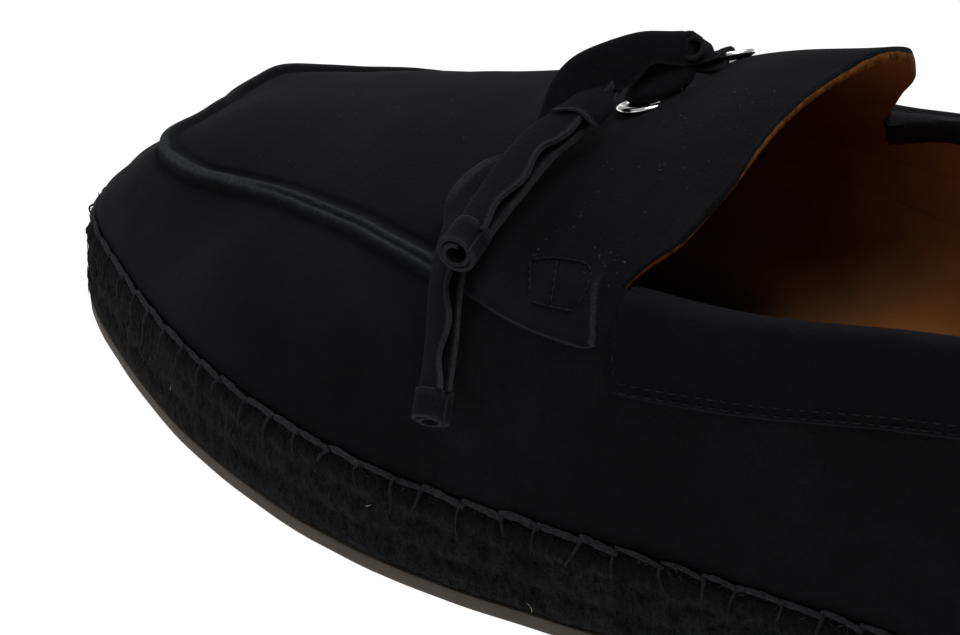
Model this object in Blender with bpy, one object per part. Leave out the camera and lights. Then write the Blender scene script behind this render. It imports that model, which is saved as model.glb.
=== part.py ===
"""Left moccasin-toe loafer with a rope sole and a suede tie with two cuffed ends.

Toe towards -X, outer (lateral) side towards -Y, floor at Z = 0. Tables are in millimetres;
objects are made in metres. A place along the shoe is its q, which grows from the toe to the heel.
"""
import math

import bmesh
import bpy
import numpy as np

for old in list(bpy.data.objects):
    bpy.data.objects.remove(old, do_unlink=True)

# Driving sizes in millimetres
MM = 0.001
TOE = 3.2
HEEL = 290.0
LENGTH = HEEL - TOE
ROPE_TOP = 17.3
GAP = 0.3
WALL = 2.0
SPRING = 2.2
SPRING_REACH = 82.0
FEATHER_IN = 1.2
INSOLE = 3.0
INSOLE_IN = 3.4
BAND_HEIGHT = 12.2
BAND_THICK = 1.1
BAND_SLANT = 4.0
BAND_SLANT_REACH = 30.0
BAND_STEPS = 5
EYELET_RING = 3.1
EYELET_WIRE = 0.75
EYELET_HOLE = 2.2
CUTTER_REACH = 6.0
TIE_THICK = 2.4
BAR_WIDTH = 5.0
BAR_THICK = 1.6
BAR_SPOTS = 4
CUFF_RADIUS = 3.0
CUFF_LENGTH = 6.0
CUFF_ROUND = 0.6
CUFF_HOLE = 1.7
CUFF_DEPTH = 4.0

# The throat: the section that ends the apron, and how far up the apron the collar meets it
CORNER_Q = 124.0
CORNER_V = {-1: 0.126, 1: 0.16}

# The eyelets: side, section and place up the apron
EYELETS = {"eyelet_outer": (-1, 103.5, 0.735), "eyelet_inner": (1, 106.4, 0.79)}

# Middle line of the foot under a strip: how far behind the strip and how high
FOOT_BACK = 14.0
FOOT_HIGH = 24.0

# Corners round each kind of section, and the step along a strip
RING_SIDES = 20
WIRE_SIDES = 6
HOLE_SIDES = 12
STRIP_SIDES = 10
CUFF_SIDES = 14
ROUTE_STEP = 3.0

# The last, a row for each section: place along the foot, the sole's two edges, the place on the
# crown that the section aims at, the inset and the height of the apron seam on the outer (l) and
# inner (m) side, the inset of the collar, its height on each side, and how late the wall leans in
LAST_COLUMNS = ("q", "lateral", "medial", "aim", "seam_in_l", "seam_in_m", "seam_z_l", "seam_z_m",
                "collar_in", "collar_z_l", "collar_z_m", "lean")
LAST = (
    (3.2, 7.5, 7.5, 40.0, 17.0, 17.0, 33.4, 33.4, 9.0, 51.0, 51.0, 1.3),
    (3.6, 0.3, 11.8, 40.2, 16.8, 16.4, 33.3, 33.6, 9.0, 51.0, 51.0, 1.3),
    (4.5, -5.8, 15.0, 40.6, 16.4, 16.0, 33.1, 33.9, 9.0, 51.0, 51.0, 1.3),
    (6.2, -12.0, 18.8, 41.6, 15.2, 15.6, 32.9, 34.6, 9.0, 51.0, 51.0, 1.3),
    (9.6, -18.6, 23.8, 43.2, 13.6, 14.6, 32.9, 35.6, 9.0, 51.0, 51.0, 1.3),
    (16.0, -24.0, 28.6, 46.2, 12.2, 13.8, 33.2, 36.2, 9.0, 51.0, 51.0, 1.35),
    (25.0, -29.6, 34.4, 50.4, 12.6, 14.2, 34.4, 36.8, 9.0, 51.0, 51.0, 1.45),
    (37.0, -36.2, 39.8, 56.6, 15.6, 15.2, 36.6, 38.4, 9.0, 51.0, 51.0, 1.55),
    (52.0, -42.9, 44.6, 66.0, 18.8, 16.6, 39.2, 39.6, 9.0, 51.0, 51.0, 1.7),
    (68.0, -47.9, 47.8, 78.0, 19.8, 17.2, 41.0, 41.0, 9.0, 51.0, 51.0, 1.7),
    (83.0, -50.8, 49.0, 90.8, 17.6, 16.0, 42.8, 42.2, 9.0, 51.0, 51.0, 1.7),
    (95.0, -51.6, 48.3, 101.8, 14.4, 13.4, 44.0, 43.0, 9.0, 51.0, 51.0, 1.6),
    (107.0, -51.1, 46.6, 115.0, 9.0, 9.0, 45.0, 44.4, 9.0, 51.0, 51.0, 1.5),
    (116.0, -49.8, 45.0, 126.0, 6.4, 6.4, 45.2, 45.2, 9.0, 51.0, 51.0, 1.5),
    (124.0, -48.6, 43.4, 136.0, 5.4, 5.4, 45.6, 45.6, 9.8, 51.6, 54.0, 1.5),
    (145.0, -45.6, 39.6, 149.0, 4.2, 4.2, 47.0, 47.0, 7.4, 54.2, 59.0, 1.5),
    (170.0, -42.4, 36.8, 170.0, 3.0, 3.0, 48.6, 48.6, 5.2, 59.6, 63.6, 1.5),
    (200.0, -39.8, 36.0, 198.0, 2.0, 2.0, 50.0, 50.0, 3.4, 65.4, 68.2, 1.5),
    (230.0, -37.5, 35.2, 224.0, 1.4, 1.4, 51.0, 51.0, 2.6, 70.4, 72.0, 1.5),
    (256.0, -33.0, 31.5, 240.0, 1.2, 1.2, 51.5, 51.5, 3.0, 73.8, 74.8, 1.5),
    (277.0, -22.5, 21.5, 247.0, 1.2, 1.2, 52.0, 52.0, 3.6, 76.2, 76.4, 1.5),
    (287.0, -10.5, 10.0, 248.0, 1.2, 1.2, 52.0, 52.0, 4.0, 77.0, 77.0, 1.5),
    (290.0, 0.0, 0.0, 248.0, 1.2, 1.2, 52.0, 52.0, 4.0, 77.2, 77.2, 1.5),
)

# The crown of the apron: place, height and side of the instep line
CROWN_COLUMNS = ("q", "z", "y")
CROWN = (
    (30.0, 39.7, 4.3),
    (40.0, 43.4, 3.5),
    (55.0, 48.6, 2.4),
    (75.0, 55.2, 1.2),
    (95.0, 61.7, 0.5),
    (105.0, 65.4, 0.2),
    (112.0, 68.2, 0.0),
    (118.0, 70.6, 0.0),
    (125.0, 72.8, 0.0),
    (136.0, 75.0, 0.0),
    (155.0, 79.0, 0.0),
    (250.0, 79.0, 0.0),
)

# The throat's edge from the seam (0) to the crown (1): its sweep back and the rise of its flare on
# the outer (l) and inner (m) side
THROAT_COLUMNS = ("v", "back_l", "back_m", "up_l", "up_m")
THROAT = (
    (0.0, -0.8, 0.0, 0.0, 0.0),
    (0.126, -1.9, 0.4, 0.0, 0.4),
    (0.28, 1.8, 3.2, 0.0, 2.2),
    (0.43, 2.4, 6.2, 0.1, 3.2),
    (0.6, 1.4, 6.6, 0.1, 3.9),
    (0.78, 0.4, 4.6, 0.2, 3.2),
    (1.0, -0.3, -0.3, 0.4, 0.4),
)
THROAT_START = 104.0

# The raised apron seam, across: distance from the seam's line and height of its two lips
SEAM_ROWS = ((-2.0, 0.0), (-1.1, 1.5), (0.0, 0.3), (1.1, 1.5), (2.0, 0.0))
SEAM_FADE = (96.0, 106.0)

# Rows of the upper's faces, up the wall and over the apron
WALL_STEPS = (0.0, 0.2, 0.42, 0.64, 0.84)
APRON_STEPS = (0.25, 0.4, 0.58, 0.78, 1.0)
FRONT_SECTIONS = 26
REAR_SECTIONS = 15

# Edges of the two layers of the sole: how far out and how high
RUBBER_EDGE = ((-0.3, 0.0), (0.1, 0.5), (0.2, 2.45))
ROPE_EDGE = ((-0.2, 2.75), (0.5, 4.2), (0.5, 6.2), (-0.1, 7.4), (0.5, 8.8), (0.5, 10.8),
             (-0.1, 12.0), (0.5, 13.4), (0.3, 15.6), (-0.7, 17.3))

# The two ends of the tie: place along the shoe, side and height of the strip's middle line, the
# strip's width there, and the turn of its face towards the heel in degrees
END_1 = (
    (108.4, -11.6, 68.8, 4.4, 0.0),
    (107.5, -15.0, 67.4, 6.0, 0.0),
    (106.0, -18.5, 65.3, 6.8, 0.0),
    (104.3, -21.8, 63.8, 7.6, 0.0),
    (103.2, -25.4, 62.0, 7.8, 0.0),
    (102.4, -29.4, 59.8, 7.8, 0.0),
    (101.7, -33.6, 57.2, 7.4, 0.0),
    (101.3, -38.2, 54.4, 6.6, 0.0),
)
END_2 = (
    (112.6, 2.4, 71.7, 5.0, 30.0),
    (112.0, -2.2, 72.8, 6.6, 60.0),
    (110.4, -5.2, 73.9, 6.8, 69.0),
    (108.4, -8.6, 74.1, 6.8, 69.0),
    (105.7, -13.5, 72.6, 7.4, 69.0),
    (101.4, -16.9, 69.9, 7.4, 60.0),
    (98.0, -19.6, 66.0, 7.0, 40.0),
    (95.2, -21.6, 61.4, 6.4, 10.0),
    (93.9, -24.4, 57.0, 6.2, 0.0),
    (93.7, -27.8, 53.6, 6.2, 0.0),
    (94.2, -31.4, 50.8, 6.2, 0.0),
    (95.3, -35.8, 48.9, 6.4, 0.0),
    (96.8, -39.5, 47.1, 6.4, 0.0),
    (98.8, -42.6, 44.5, 6.4, 0.0),
    (100.6, -45.3, 40.6, 6.4, 0.0),
    (102.0, -47.6, 37.0, 6.4, 0.0),
    (103.0, -49.8, 34.4, 6.4, 0.0),
)


def smooth(xs, ys, x):
    """Cubic through the rows of a table, with no overshoot between them."""
    xs = np.asarray(xs, float)
    ys = np.asarray(ys, float)
    step = np.diff(xs)
    slope = np.diff(ys) / step
    tangent = np.zeros_like(ys)
    same = slope[:-1] * slope[1:] > 0.0
    weight_a = 2.0 * step[1:] + step[:-1]
    weight_b = step[1:] + 2.0 * step[:-1]
    first = np.where(same, slope[:-1], 1.0)
    second = np.where(same, slope[1:], 1.0)
    mean = (weight_a + weight_b) / (weight_a / first + weight_b / second)
    tangent[1:-1] = np.where(same, mean, 0.0)
    tangent[0] = slope[0]
    tangent[-1] = slope[-1]
    x = np.clip(np.asarray(x, float), xs[0], xs[-1])
    k = np.clip(np.searchsorted(xs, x, side="right") - 1, 0, len(xs) - 2)
    u = (x - xs[k]) / step[k]
    rise = ys[k] + (ys[k + 1] - ys[k]) * u * u * (3.0 - 2.0 * u)
    return rise + step[k] * u * (1.0 - u) * (tangent[k] * (1.0 - u) - tangent[k + 1] * u)


def read(table, columns, column, x):
    k = columns.index(column)
    return smooth([row[0] for row in table], [row[k] for row in table], x)


def turn(q):
    """Angle that runs from the toe to the heel, so that both ends of an outline come out round."""
    return np.arccos(np.clip(1.0 - 2.0 * (np.asarray(q, float) - TOE) / LENGTH, -1.0, 1.0))


def last(column, q):
    k = LAST_COLUMNS.index(column)
    return smooth(turn([row[0] for row in LAST]), [row[k] for row in LAST], turn(q))


def crown(column, q):
    return read(CROWN, CROWN_COLUMNS, column, q)


def spring(q):
    """Lift of the sole towards the toe."""
    return SPRING * np.clip(1.0 - (np.asarray(q, float) - TOE) / SPRING_REACH, 0.0, None) ** 2


def mark(side):
    """Ending of the column for a side: -1 is the outer side and 1 the inner side."""
    return "_l" if side < 0 else "_m"


def edge(side, q):
    """Edge of the sole in plan."""
    return last("lateral" if side < 0 else "medial", q)


def lines(side, q):
    """Foot of the wall, apron seam, crown and collar of the section at q."""
    q = np.asarray(q, float)
    place = last("aim", q)
    top = np.stack([place, crown("y", place), crown("z", place)], axis=-1)
    rim = np.stack([q, edge(side, q)], axis=-1)
    way = top[..., :2] - rim
    way = way / np.linalg.norm(way, axis=-1, keepdims=True)

    def inset(distance, height):
        plan = rim + way * np.asarray(distance, float)[..., None]
        return np.concatenate([plan, np.asarray(height, float)[..., None]], axis=-1)

    foot = inset(np.full_like(q, FEATHER_IN), ROPE_TOP + GAP + spring(q))
    seam = inset(last("seam_in" + mark(side), q), last("seam_z" + mark(side), q))
    collar = inset(last("collar_in", q), last("collar_z" + mark(side), q))
    return foot, seam, top, collar


def wall_point(side, q, w):
    """Outer face of the wall: w runs from 0 at the sole to 1 at the apron seam."""
    foot, seam, top, collar = lines(side, q)
    w = np.asarray(w, float)[..., None]
    lean = last("lean", q)[..., None]
    plan = foot[..., :2] + (seam[..., :2] - foot[..., :2]) * w ** lean
    height = foot[..., 2:] + (seam[..., 2:] - foot[..., 2:]) * w
    return np.concatenate([plan, height], axis=-1)


def apron_point(side, q, v):
    """Outer face of the apron: v runs from 0 at the seam to 1 on the crown line."""
    foot, seam, top, collar = lines(side, q)
    v = np.asarray(v, float)
    ahead = 0.5
    slope = (crown("z", top[..., 0] + ahead) - crown("z", top[..., 0] - ahead)) / (2.0 * ahead)
    end = slope * (top[..., 0] - seam[..., 0])
    rise = top[..., 2] - seam[..., 2]
    height = seam[..., 2] + (2.0 * rise - end) * v + (end - rise) * v * v
    plan = seam[..., :2] + (top[..., :2] - seam[..., :2]) * v[..., None]
    near = np.clip((np.asarray(q, float) - THROAT_START) / (CORNER_Q - THROAT_START), 0.0, 1.0) ** 2
    back = near * read(THROAT, THROAT_COLUMNS, "back" + mark(side), v)
    up = near * read(THROAT, THROAT_COLUMNS, "up" + mark(side), v)
    return np.stack([plan[..., 0] + back, plan[..., 1], height + up], axis=-1)


def quarter_point(side, q, c):
    """Outer face behind the throat, from the seam's line (c = 0) to the collar (c = 1)."""
    foot, seam, top, collar = lines(side, q)
    return seam + (collar - seam) * np.asarray(c, float)[..., None]


def rear_point(side, q, z):
    """Outer face behind the throat at the height z."""
    foot, seam, top, collar = lines(side, q)
    z = np.asarray(z, float)
    low = wall_point(side, q, np.clip((z - foot[..., 2]) / (seam[..., 2] - foot[..., 2]), 0.0, 1.0))
    high = quarter_point(side, q, (z - seam[..., 2]) / (collar[..., 2] - seam[..., 2]))
    return np.where((z > seam[..., 2])[..., None], high, low)


def unit(v):
    return v / np.linalg.norm(v, axis=-1, keepdims=True)


def sections():
    """Places of the sections, close together at the toe and at the heel."""
    ahead = 1.0 - np.cos(np.linspace(0.0, math.pi / 2.0, FRONT_SECTIONS + 1))
    behind = np.sin(np.linspace(0.0, math.pi / 2.0, REAR_SECTIONS + 1))[1:]
    return np.concatenate([TOE + (CORNER_Q - TOE) * ahead, CORNER_Q + (HEEL - CORNER_Q) * behind])


def section_rows(side, q):
    """Outer face of one section from the sole up, with the lift of the raised seam in each row."""
    foot, seam, top, collar = lines(side, q)
    wall_run = np.linalg.norm(seam - foot)
    apron_run = np.linalg.norm(top - seam)
    quarter_run = np.linalg.norm(collar - seam)
    front = q <= CORNER_Q + 0.001
    fade = np.clip((SEAM_FADE[1] - q) / (SEAM_FADE[1] - SEAM_FADE[0]), 0.0, 1.0)
    points = [wall_point(side, q, w) for w in WALL_STEPS]
    lifts = [0.0] * len(WALL_STEPS)
    for along, lift in SEAM_ROWS:
        if along <= 0.0:
            points.append(wall_point(side, q, 1.0 + along / wall_run))
        elif front:
            points.append(apron_point(side, q, along / apron_run))
        else:
            points.append(quarter_point(side, q, along / quarter_run))
        lifts.append(lift * fade)
    if front:
        points += [apron_point(side, q, v) for v in (CORNER_V[side],) + APRON_STEPS]
    else:
        points.append(quarter_point(side, q, 1.0))
    return points, lifts + [0.0] * (len(points) - len(lifts))


# Blender objects
def paint(name, colour, rough, metal=0.0):
    mat = bpy.data.materials.new(name)
    mat.use_nodes = True
    shader = mat.node_tree.nodes["Principled BSDF"]
    shader.inputs["Base Color"].default_value = (*colour, 1.0)
    shader.inputs["Roughness"].default_value = rough
    shader.inputs["Metallic"].default_value = metal
    return mat


def middle():
    """Middle of the shoe in plan, which becomes the origin."""
    ring, out = ring_outline()
    widest = ring + out * max(row[0] for row in ROPE_EDGE)
    return np.append((widest.min(axis=0) + widest.max(axis=0)) / 2.0, 0.0)


def solid(name, points, faces, mat):
    """Closed body from points in millimetres along, across and up."""
    mesh = bpy.data.meshes.new(name)
    shifted = (np.asarray(points, float) - middle()) * MM
    mesh.from_pydata([tuple(p) for p in shifted], [], faces)
    body = bmesh.new()
    body.from_mesh(mesh)
    bmesh.ops.triangulate(body, faces=list(body.faces))
    bmesh.ops.recalc_face_normals(body, faces=list(body.faces))
    body.to_mesh(mesh)
    body.free()
    mesh.shade_smooth()
    mesh.set_sharp_from_angle(angle=math.radians(40.0))
    mesh.materials.append(mat)
    thing = bpy.data.objects.new(name, mesh)
    bpy.context.collection.objects.link(thing)
    return thing


def upper_shell():
    """Outer points, lifts and faces of the upper as one open sheet."""
    places = sections()
    final = len(places) - 1
    crown_row = len(WALL_STEPS) + len(SEAM_ROWS) + len(APRON_STEPS)
    index = {}
    points = []
    lifts = []

    def key(side, i, j):
        shared = i in (0, final) or j == crown_row
        return (0 if shared else side, i, j)

    heights = []
    for i, q in enumerate(places):
        for side in (-1, 1):
            rows, raised = section_rows(side, q)
            for j, (point, lift) in enumerate(zip(rows, raised)):
                spot = key(side, i, j)
                if spot not in index:
                    index[spot] = len(points)
                    points.append(point)
                    lifts.append(lift)
        heights.append(len(rows))
    faces = []
    for i in range(final):
        for side in (-1, 1):
            for j in range(min(heights[i], heights[i + 1]) - 1):
                ring = [index[key(side, i, j)], index[key(side, i + 1, j)],
                        index[key(side, i + 1, j + 1)], index[key(side, i, j + 1)]]
                faces.append(ring if side < 0 else ring[::-1])
    feet = [index[key(side, i, 0)] for i in range(final + 1) for side in (-1, 1)]
    return np.array(points), np.array(lifts), faces, sorted(set(feet))


def sheet_normals(points, faces):
    """Unit normals at the points of a sheet of four-sided faces."""
    total = np.zeros_like(points)
    for face in faces:
        a, b, c, d = points[face]
        total[face] += np.cross(c - a, d - b)
    return unit(total)


def thick_sheet(outer, inner, faces):
    """Points and faces of a sheet with a back, closed along its open edges."""
    count = len(outer)
    both = list(faces) + [[k + count for k in face[::-1]] for face in faces]
    edges = {}
    for face in faces:
        for k in range(len(face)):
            pair = (face[k], face[(k + 1) % len(face)])
            edges[frozenset(pair)] = None if frozenset(pair) in edges else pair
    for pair in edges.values():
        if pair is not None:
            both.append([pair[1], pair[0], pair[0] + count, pair[1] + count])
    return np.concatenate([outer, inner]), both


def make_upper(mat):
    points, lifts, faces, feet = upper_shell()
    normal = sheet_normals(points, faces)
    normal[feet, 2] = 0.0
    normal = unit(normal)
    outer = points + normal * lifts[:, None]
    inner = points - normal * WALL
    return solid("upper", *thick_sheet(outer, inner, faces), mat)


def ring_outline():
    """Sole's edge as a ring from the toe along the outer side to the heel and back, and its
    outward direction."""
    places = sections()
    outer_side = np.stack([places, edge(-1, places)], axis=-1)
    inner_side = np.stack([places, edge(1, places)], axis=-1)
    ring = np.concatenate([outer_side, inner_side[-2:0:-1]])
    along = np.roll(ring, -1, axis=0) - np.roll(ring, 1, axis=0)
    out = unit(np.stack([along[:, 1], -along[:, 0]], axis=-1))
    return ring, out


def slab(name, rings, mat):
    """Closed body through rings of the same count, closed across at its two ends."""
    count = len(rings[0])
    half = count // 2
    faces = []
    for k in range(len(rings) - 1):
        for i in range(count):
            j = (i + 1) % count
            faces.append([k * count + i, k * count + j, (k + 1) * count + j, (k + 1) * count + i])
    for base in (0, (len(rings) - 1) * count):
        for i in range(half):
            left, right = base + i, base + i + 1
            far_left, far_right = base + (count - i) % count, base + count - i - 1
            face = [left, right, far_right, far_left]
            faces.append(list(dict.fromkeys(face)))
    return solid(name, np.concatenate(rings), faces, mat)


def make_layer(name, rows, mat):
    ring, out = ring_outline()
    rings = []
    for outward, height in rows:
        plan = ring + out * outward
        rings.append(np.column_stack([plan, height + spring(ring[:, 0])]))
    return slab(name, rings, mat)


def make_insole(mat):
    places = sections()
    sides = []
    for side in (-1, 1):
        foot, seam, top, collar = lines(side, places)
        w = INSOLE / (seam[:, 2] - foot[:, 2])
        wall = wall_point(side, places, w)[:, :2]
        sides.append(wall + unit(top[:, :2] - wall) * INSOLE_IN)
    ring = np.concatenate([sides[0], sides[1][-2:0:-1]])
    floor = ROPE_TOP + GAP + spring(ring[:, 0])
    rings = [np.column_stack([ring, floor]), np.column_stack([ring, floor + INSOLE])]
    return slab("insole", rings, mat)


def make_collar_band(mat):
    places = sections()[FRONT_SECTIONS:]
    steps = np.linspace(0.0, 1.0, BAND_STEPS)
    angles = turn(places)[:, None]
    fade = np.clip(1.0 - (places - CORNER_Q) / BAND_SLANT_REACH, 0.0, 1.0)[:, None]
    small = 0.004

    def at(side, shift):
        angle = np.clip(angles + shift, 0.0, math.pi)
        q = np.minimum(TOE + LENGTH * (1.0 - np.cos(angle)) / 2.0 + fade * BAND_SLANT * steps, HEEL)
        return rear_point(side, q, lines(side, q)[3][..., 2] - BAND_HEIGHT * steps)

    columns = []
    for side in (-1, 1):
        face = at(side, 0.0)
        along = at(side, small) - at(side, -small)
        out = side * unit(np.cross(along, np.gradient(face, axis=1)))
        columns.append((face + out * GAP, face + out * (GAP + BAND_THICK)))
    inner = np.concatenate([columns[0][0], columns[1][0][-2::-1]])
    outer = np.concatenate([columns[0][1], columns[1][1][-2::-1]])
    rows = len(steps)
    faces = []
    for i in range(len(inner) - 1):
        for j in range(rows - 1):
            k = i * rows + j
            faces.append([k, k + rows, k + rows + 1, k + 1])
    points, faces = thick_sheet(outer.reshape(-1, 3), inner.reshape(-1, 3), faces)
    return solid("collar_band", points, faces, mat)


def apron_frame(side, q, v):
    """Point of the apron with its outward direction."""
    small = 0.2
    point = apron_point(side, q, v)
    along = apron_point(side, q + small, v) - apron_point(side, q - small, v)
    across = apron_point(side, q, v + 0.01) - apron_point(side, q, v - 0.01)
    out = unit(np.cross(along, across))
    return point, out * np.sign(out[2])


def tube_faces(rings, sides):
    faces = []
    for k in range(rings - 1):
        for i in range(sides):
            j = (i + 1) % sides
            faces.append([k * sides + i, k * sides + j, (k + 1) * sides + j, (k + 1) * sides + i])
    return faces


def circle(sides, along, across):
    """Unit spokes round a circle in the plane of two directions."""
    angles = np.arange(sides) * 2.0 * math.pi / sides
    return np.outer(np.cos(angles), along) + np.outer(np.sin(angles), across)


def eyelet_frame(side, q, v):
    """Point of the apron under an eyelet, its outward direction and the spokes' two directions."""
    point, out = apron_frame(side, q, v)
    across = unit(np.cross(out, [1.0, 0.0, 0.0]))
    return point, out, np.cross(across, out), across


def make_eyelet(name, place, mat):
    point, out, along, across = eyelet_frame(*place)
    centre = point + out * (EYELET_WIRE + GAP)
    points = []
    for spoke in circle(RING_SIDES, along, across):
        points += list(centre + spoke * EYELET_RING + circle(WIRE_SIDES, spoke, out) * EYELET_WIRE)
    faces = tube_faces(RING_SIDES + 1, WIRE_SIDES)
    return solid(name, points, [[k % len(points) for k in face] for face in faces], mat)


def cut_eyelet(upper, name, place, mat):
    """Hole through the upper under an eyelet."""
    point, out, along, across = eyelet_frame(*place)
    rim = point + circle(HOLE_SIDES, along, across) * EYELET_HOLE
    points = np.concatenate([rim - out * CUTTER_REACH, rim + out * CUTTER_REACH])
    ends = [list(range(HOLE_SIDES)), list(range(2 * HOLE_SIDES - 1, HOLE_SIDES - 1, -1))]
    cutter = solid(f"{name}_cutter", points, tube_faces(2, HOLE_SIDES) + ends, mat)
    cutter.hide_render = True
    cutter.display_type = "WIRE"
    cut = upper.modifiers.new(f"{name}_hole", "BOOLEAN")
    cut.operation = "DIFFERENCE"
    cut.solver = "EXACT"
    cut.object = cutter


def route(points):
    """Even rows along a smooth curve through the rows of a strip's route."""
    points = np.asarray(points, float)
    steps = np.linalg.norm(np.diff(points[:, :3], axis=0), axis=1)
    run = np.concatenate([[0.0], np.cumsum(steps)])
    count = int(round(run[-1] / ROUTE_STEP)) + 1
    spots = np.linspace(0.0, run[-1], count)
    return np.stack([smooth(run, column, spots) for column in points.T], axis=-1)


def strip_face(path, lean):
    """Direction of a strip's face: away from the foot, turned about the strip by the lean."""
    along = unit(np.gradient(path, axis=0))
    foot = np.stack([path[:, 0] + FOOT_BACK, np.zeros(len(path)), np.full(len(path), FOOT_HIGH)], axis=-1)
    away = path - foot
    away = unit(away - along * np.sum(away * along, axis=-1, keepdims=True))
    heelward = np.cross(along, away)
    heelward = heelward * np.sign(heelward[:, :1])
    angle = np.radians(lean)[:, None]
    return away * np.cos(angle) + heelward * np.sin(angle)


def sweep_oval(name, path, out, width, thick, mat):
    """Strip of an oval section along a path, its flat side facing the direction out."""
    along = unit(np.gradient(path, axis=0))
    across = unit(np.cross(along, out))
    out = np.cross(across, along)
    points = []
    for k, spot in enumerate(path):
        points += list(spot + circle(STRIP_SIDES, across[k] * width[k] / 2.0, out[k] * thick / 2.0))
    total = len(points)
    ends = [list(range(STRIP_SIDES)), list(range(total - 1, total - STRIP_SIDES - 1, -1))]
    return solid(name, points, tube_faces(len(path), STRIP_SIDES) + ends, mat)


def make_end(number, points, mat):
    """One end of the tie, with its cuff."""
    rows = route(points)
    path = rows[:, :3]
    sweep_oval(f"tie_end_{number}", path, strip_face(path, rows[:, 4]), rows[:, 3], TIE_THICK, mat)
    make_cuff(f"tie_cuff_{number}", path[-1], unit(path[-1] - path[-2]), mat)


def make_bar(mat):
    """The tie's bar under the apron, from one eyelet to the other."""
    outer_side, outer_q, outer_v = EYELETS["eyelet_outer"]
    inner_side, inner_q, inner_v = EYELETS["eyelet_inner"]
    middle_q = (outer_q + inner_q) / 2.0
    ridge = 0.98
    spots = [(outer_side, outer_q + (middle_q - outer_q) * t, outer_v + (ridge - outer_v) * t)
             for t in np.linspace(0.0, 1.0, BAR_SPOTS)]
    spots += [(inner_side, inner_q + (middle_q - inner_q) * t, inner_v + (ridge - inner_v) * t)
              for t in np.linspace(1.0, 0.0, BAR_SPOTS)]
    depth = WALL + GAP + BAR_THICK / 2.0
    frames = [apron_frame(*spot) for spot in spots]
    normals = np.array([out for point, out in frames])
    path = np.array([point for point, out in frames]) - normals * depth
    width = np.full(len(path), BAR_WIDTH)
    return sweep_oval("tie_bar", path, normals, width, BAR_THICK, mat)


def make_cuff(name, start, along, mat):
    """Rolled cuff at the end of a strip, hollow at its free end."""
    level = np.array([0.3, 0.2, 0.9])
    across = unit(np.cross(along, level))
    out = np.cross(across, along)
    profile = ((CUFF_RADIUS - CUFF_ROUND, 0.0), (CUFF_RADIUS, CUFF_ROUND),
               (CUFF_RADIUS, CUFF_LENGTH - CUFF_ROUND), (CUFF_RADIUS - CUFF_ROUND, CUFF_LENGTH),
               (CUFF_HOLE, CUFF_LENGTH - CUFF_ROUND / 2.0), (CUFF_HOLE, CUFF_LENGTH - CUFF_DEPTH))
    base = start + along * GAP
    points = []
    for radius, height in profile:
        points += list(base + along * height + circle(CUFF_SIDES, across, out) * radius)
    total = len(points)
    faces = tube_faces(len(profile), CUFF_SIDES)
    faces += [list(range(CUFF_SIDES)), list(range(total - 1, total - CUFF_SIDES - 1, -1))]
    return solid(name, points, faces, mat)


suede = paint("suede", (0.012, 0.012, 0.015), 0.95)
band_suede = paint("band_suede", (0.014, 0.013, 0.016), 0.95)
tie_suede = paint("tie_suede", (0.012, 0.012, 0.014), 0.95)
rope = paint("rope", (0.018, 0.017, 0.019), 0.95)
rubber = paint("rubber", (0.084, 0.072, 0.058), 0.8)
leather = paint("tan_leather", (0.38, 0.17, 0.05), 0.6)
steel = paint("eyelet_steel", (0.75, 0.75, 0.74), 0.25, 1.0)

make_layer("outsole", RUBBER_EDGE, rubber)
make_layer("rope_sole", ROPE_EDGE, rope)
make_insole(leather)
shell = make_upper(suede)
make_collar_band(band_suede)
for eyelet_name, eyelet_place in EYELETS.items():
    cut_eyelet(shell, eyelet_name, eyelet_place, steel)
    make_eyelet(eyelet_name, eyelet_place, steel)
make_end(1, END_1, tie_suede)
make_end(2, END_2, tie_suede)
make_bar(tie_suede)
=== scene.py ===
"""Looks of the left moccasin-toe loafer with a rope sole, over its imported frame.

Toe towards -X, outer side towards -Y, floor at Z = 0. Sizes and tables are in millimetres: a place
is (q, y, z), with q growing from the toe to the heel, and put() turns it into metres in the frame.
"""
import math

import bpy
import numpy as np
from mathutils import Matrix, Vector, noise


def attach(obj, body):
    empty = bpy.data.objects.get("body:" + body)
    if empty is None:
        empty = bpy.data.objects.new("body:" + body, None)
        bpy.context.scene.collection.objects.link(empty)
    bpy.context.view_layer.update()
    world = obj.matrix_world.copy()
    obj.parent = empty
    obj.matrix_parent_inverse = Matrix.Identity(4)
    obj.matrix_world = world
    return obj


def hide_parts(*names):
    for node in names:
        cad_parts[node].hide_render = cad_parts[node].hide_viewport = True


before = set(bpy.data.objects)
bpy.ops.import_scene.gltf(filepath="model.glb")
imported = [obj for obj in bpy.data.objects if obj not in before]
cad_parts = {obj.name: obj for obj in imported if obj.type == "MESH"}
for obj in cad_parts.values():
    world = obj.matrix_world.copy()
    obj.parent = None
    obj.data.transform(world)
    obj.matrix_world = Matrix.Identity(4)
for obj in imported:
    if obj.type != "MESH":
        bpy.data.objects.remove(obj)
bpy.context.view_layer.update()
rng = np.random.default_rng(11)

# Sizes of the solids, in millimetres
MM = 0.001
TOE = 3.2
HEEL = 290.0
LENGTH = HEEL - TOE
MIDDLE = np.array([(TOE + HEEL) / 2.0, -1.3132, 0.0])
ROPE_TOP = 17.3
GAP = 0.3
WALL = 2.0
SPRING = 2.2
SPRING_REACH = 82.0
FEATHER_IN = 1.2
BAND_HEIGHT = 12.2
BAND_SLANT = 4.0
SLANT_REACH = 30.0
EYELETS = {-1: (103.5, 0.735), 1: (106.4, 0.79)}
EYELET_RING = 3.1
EYELET_WIRE = 0.75
EYELET_BORE = EYELET_RING - 0.45
BAR_WIDTH = 5.0
BAR_THICK = 1.6
CORNER_Q = 124.0
CORNER_V = {-1: 0.126, 1: 0.16}
FOOT_BACK = 14.0
FOOT_HIGH = 24.0

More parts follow.
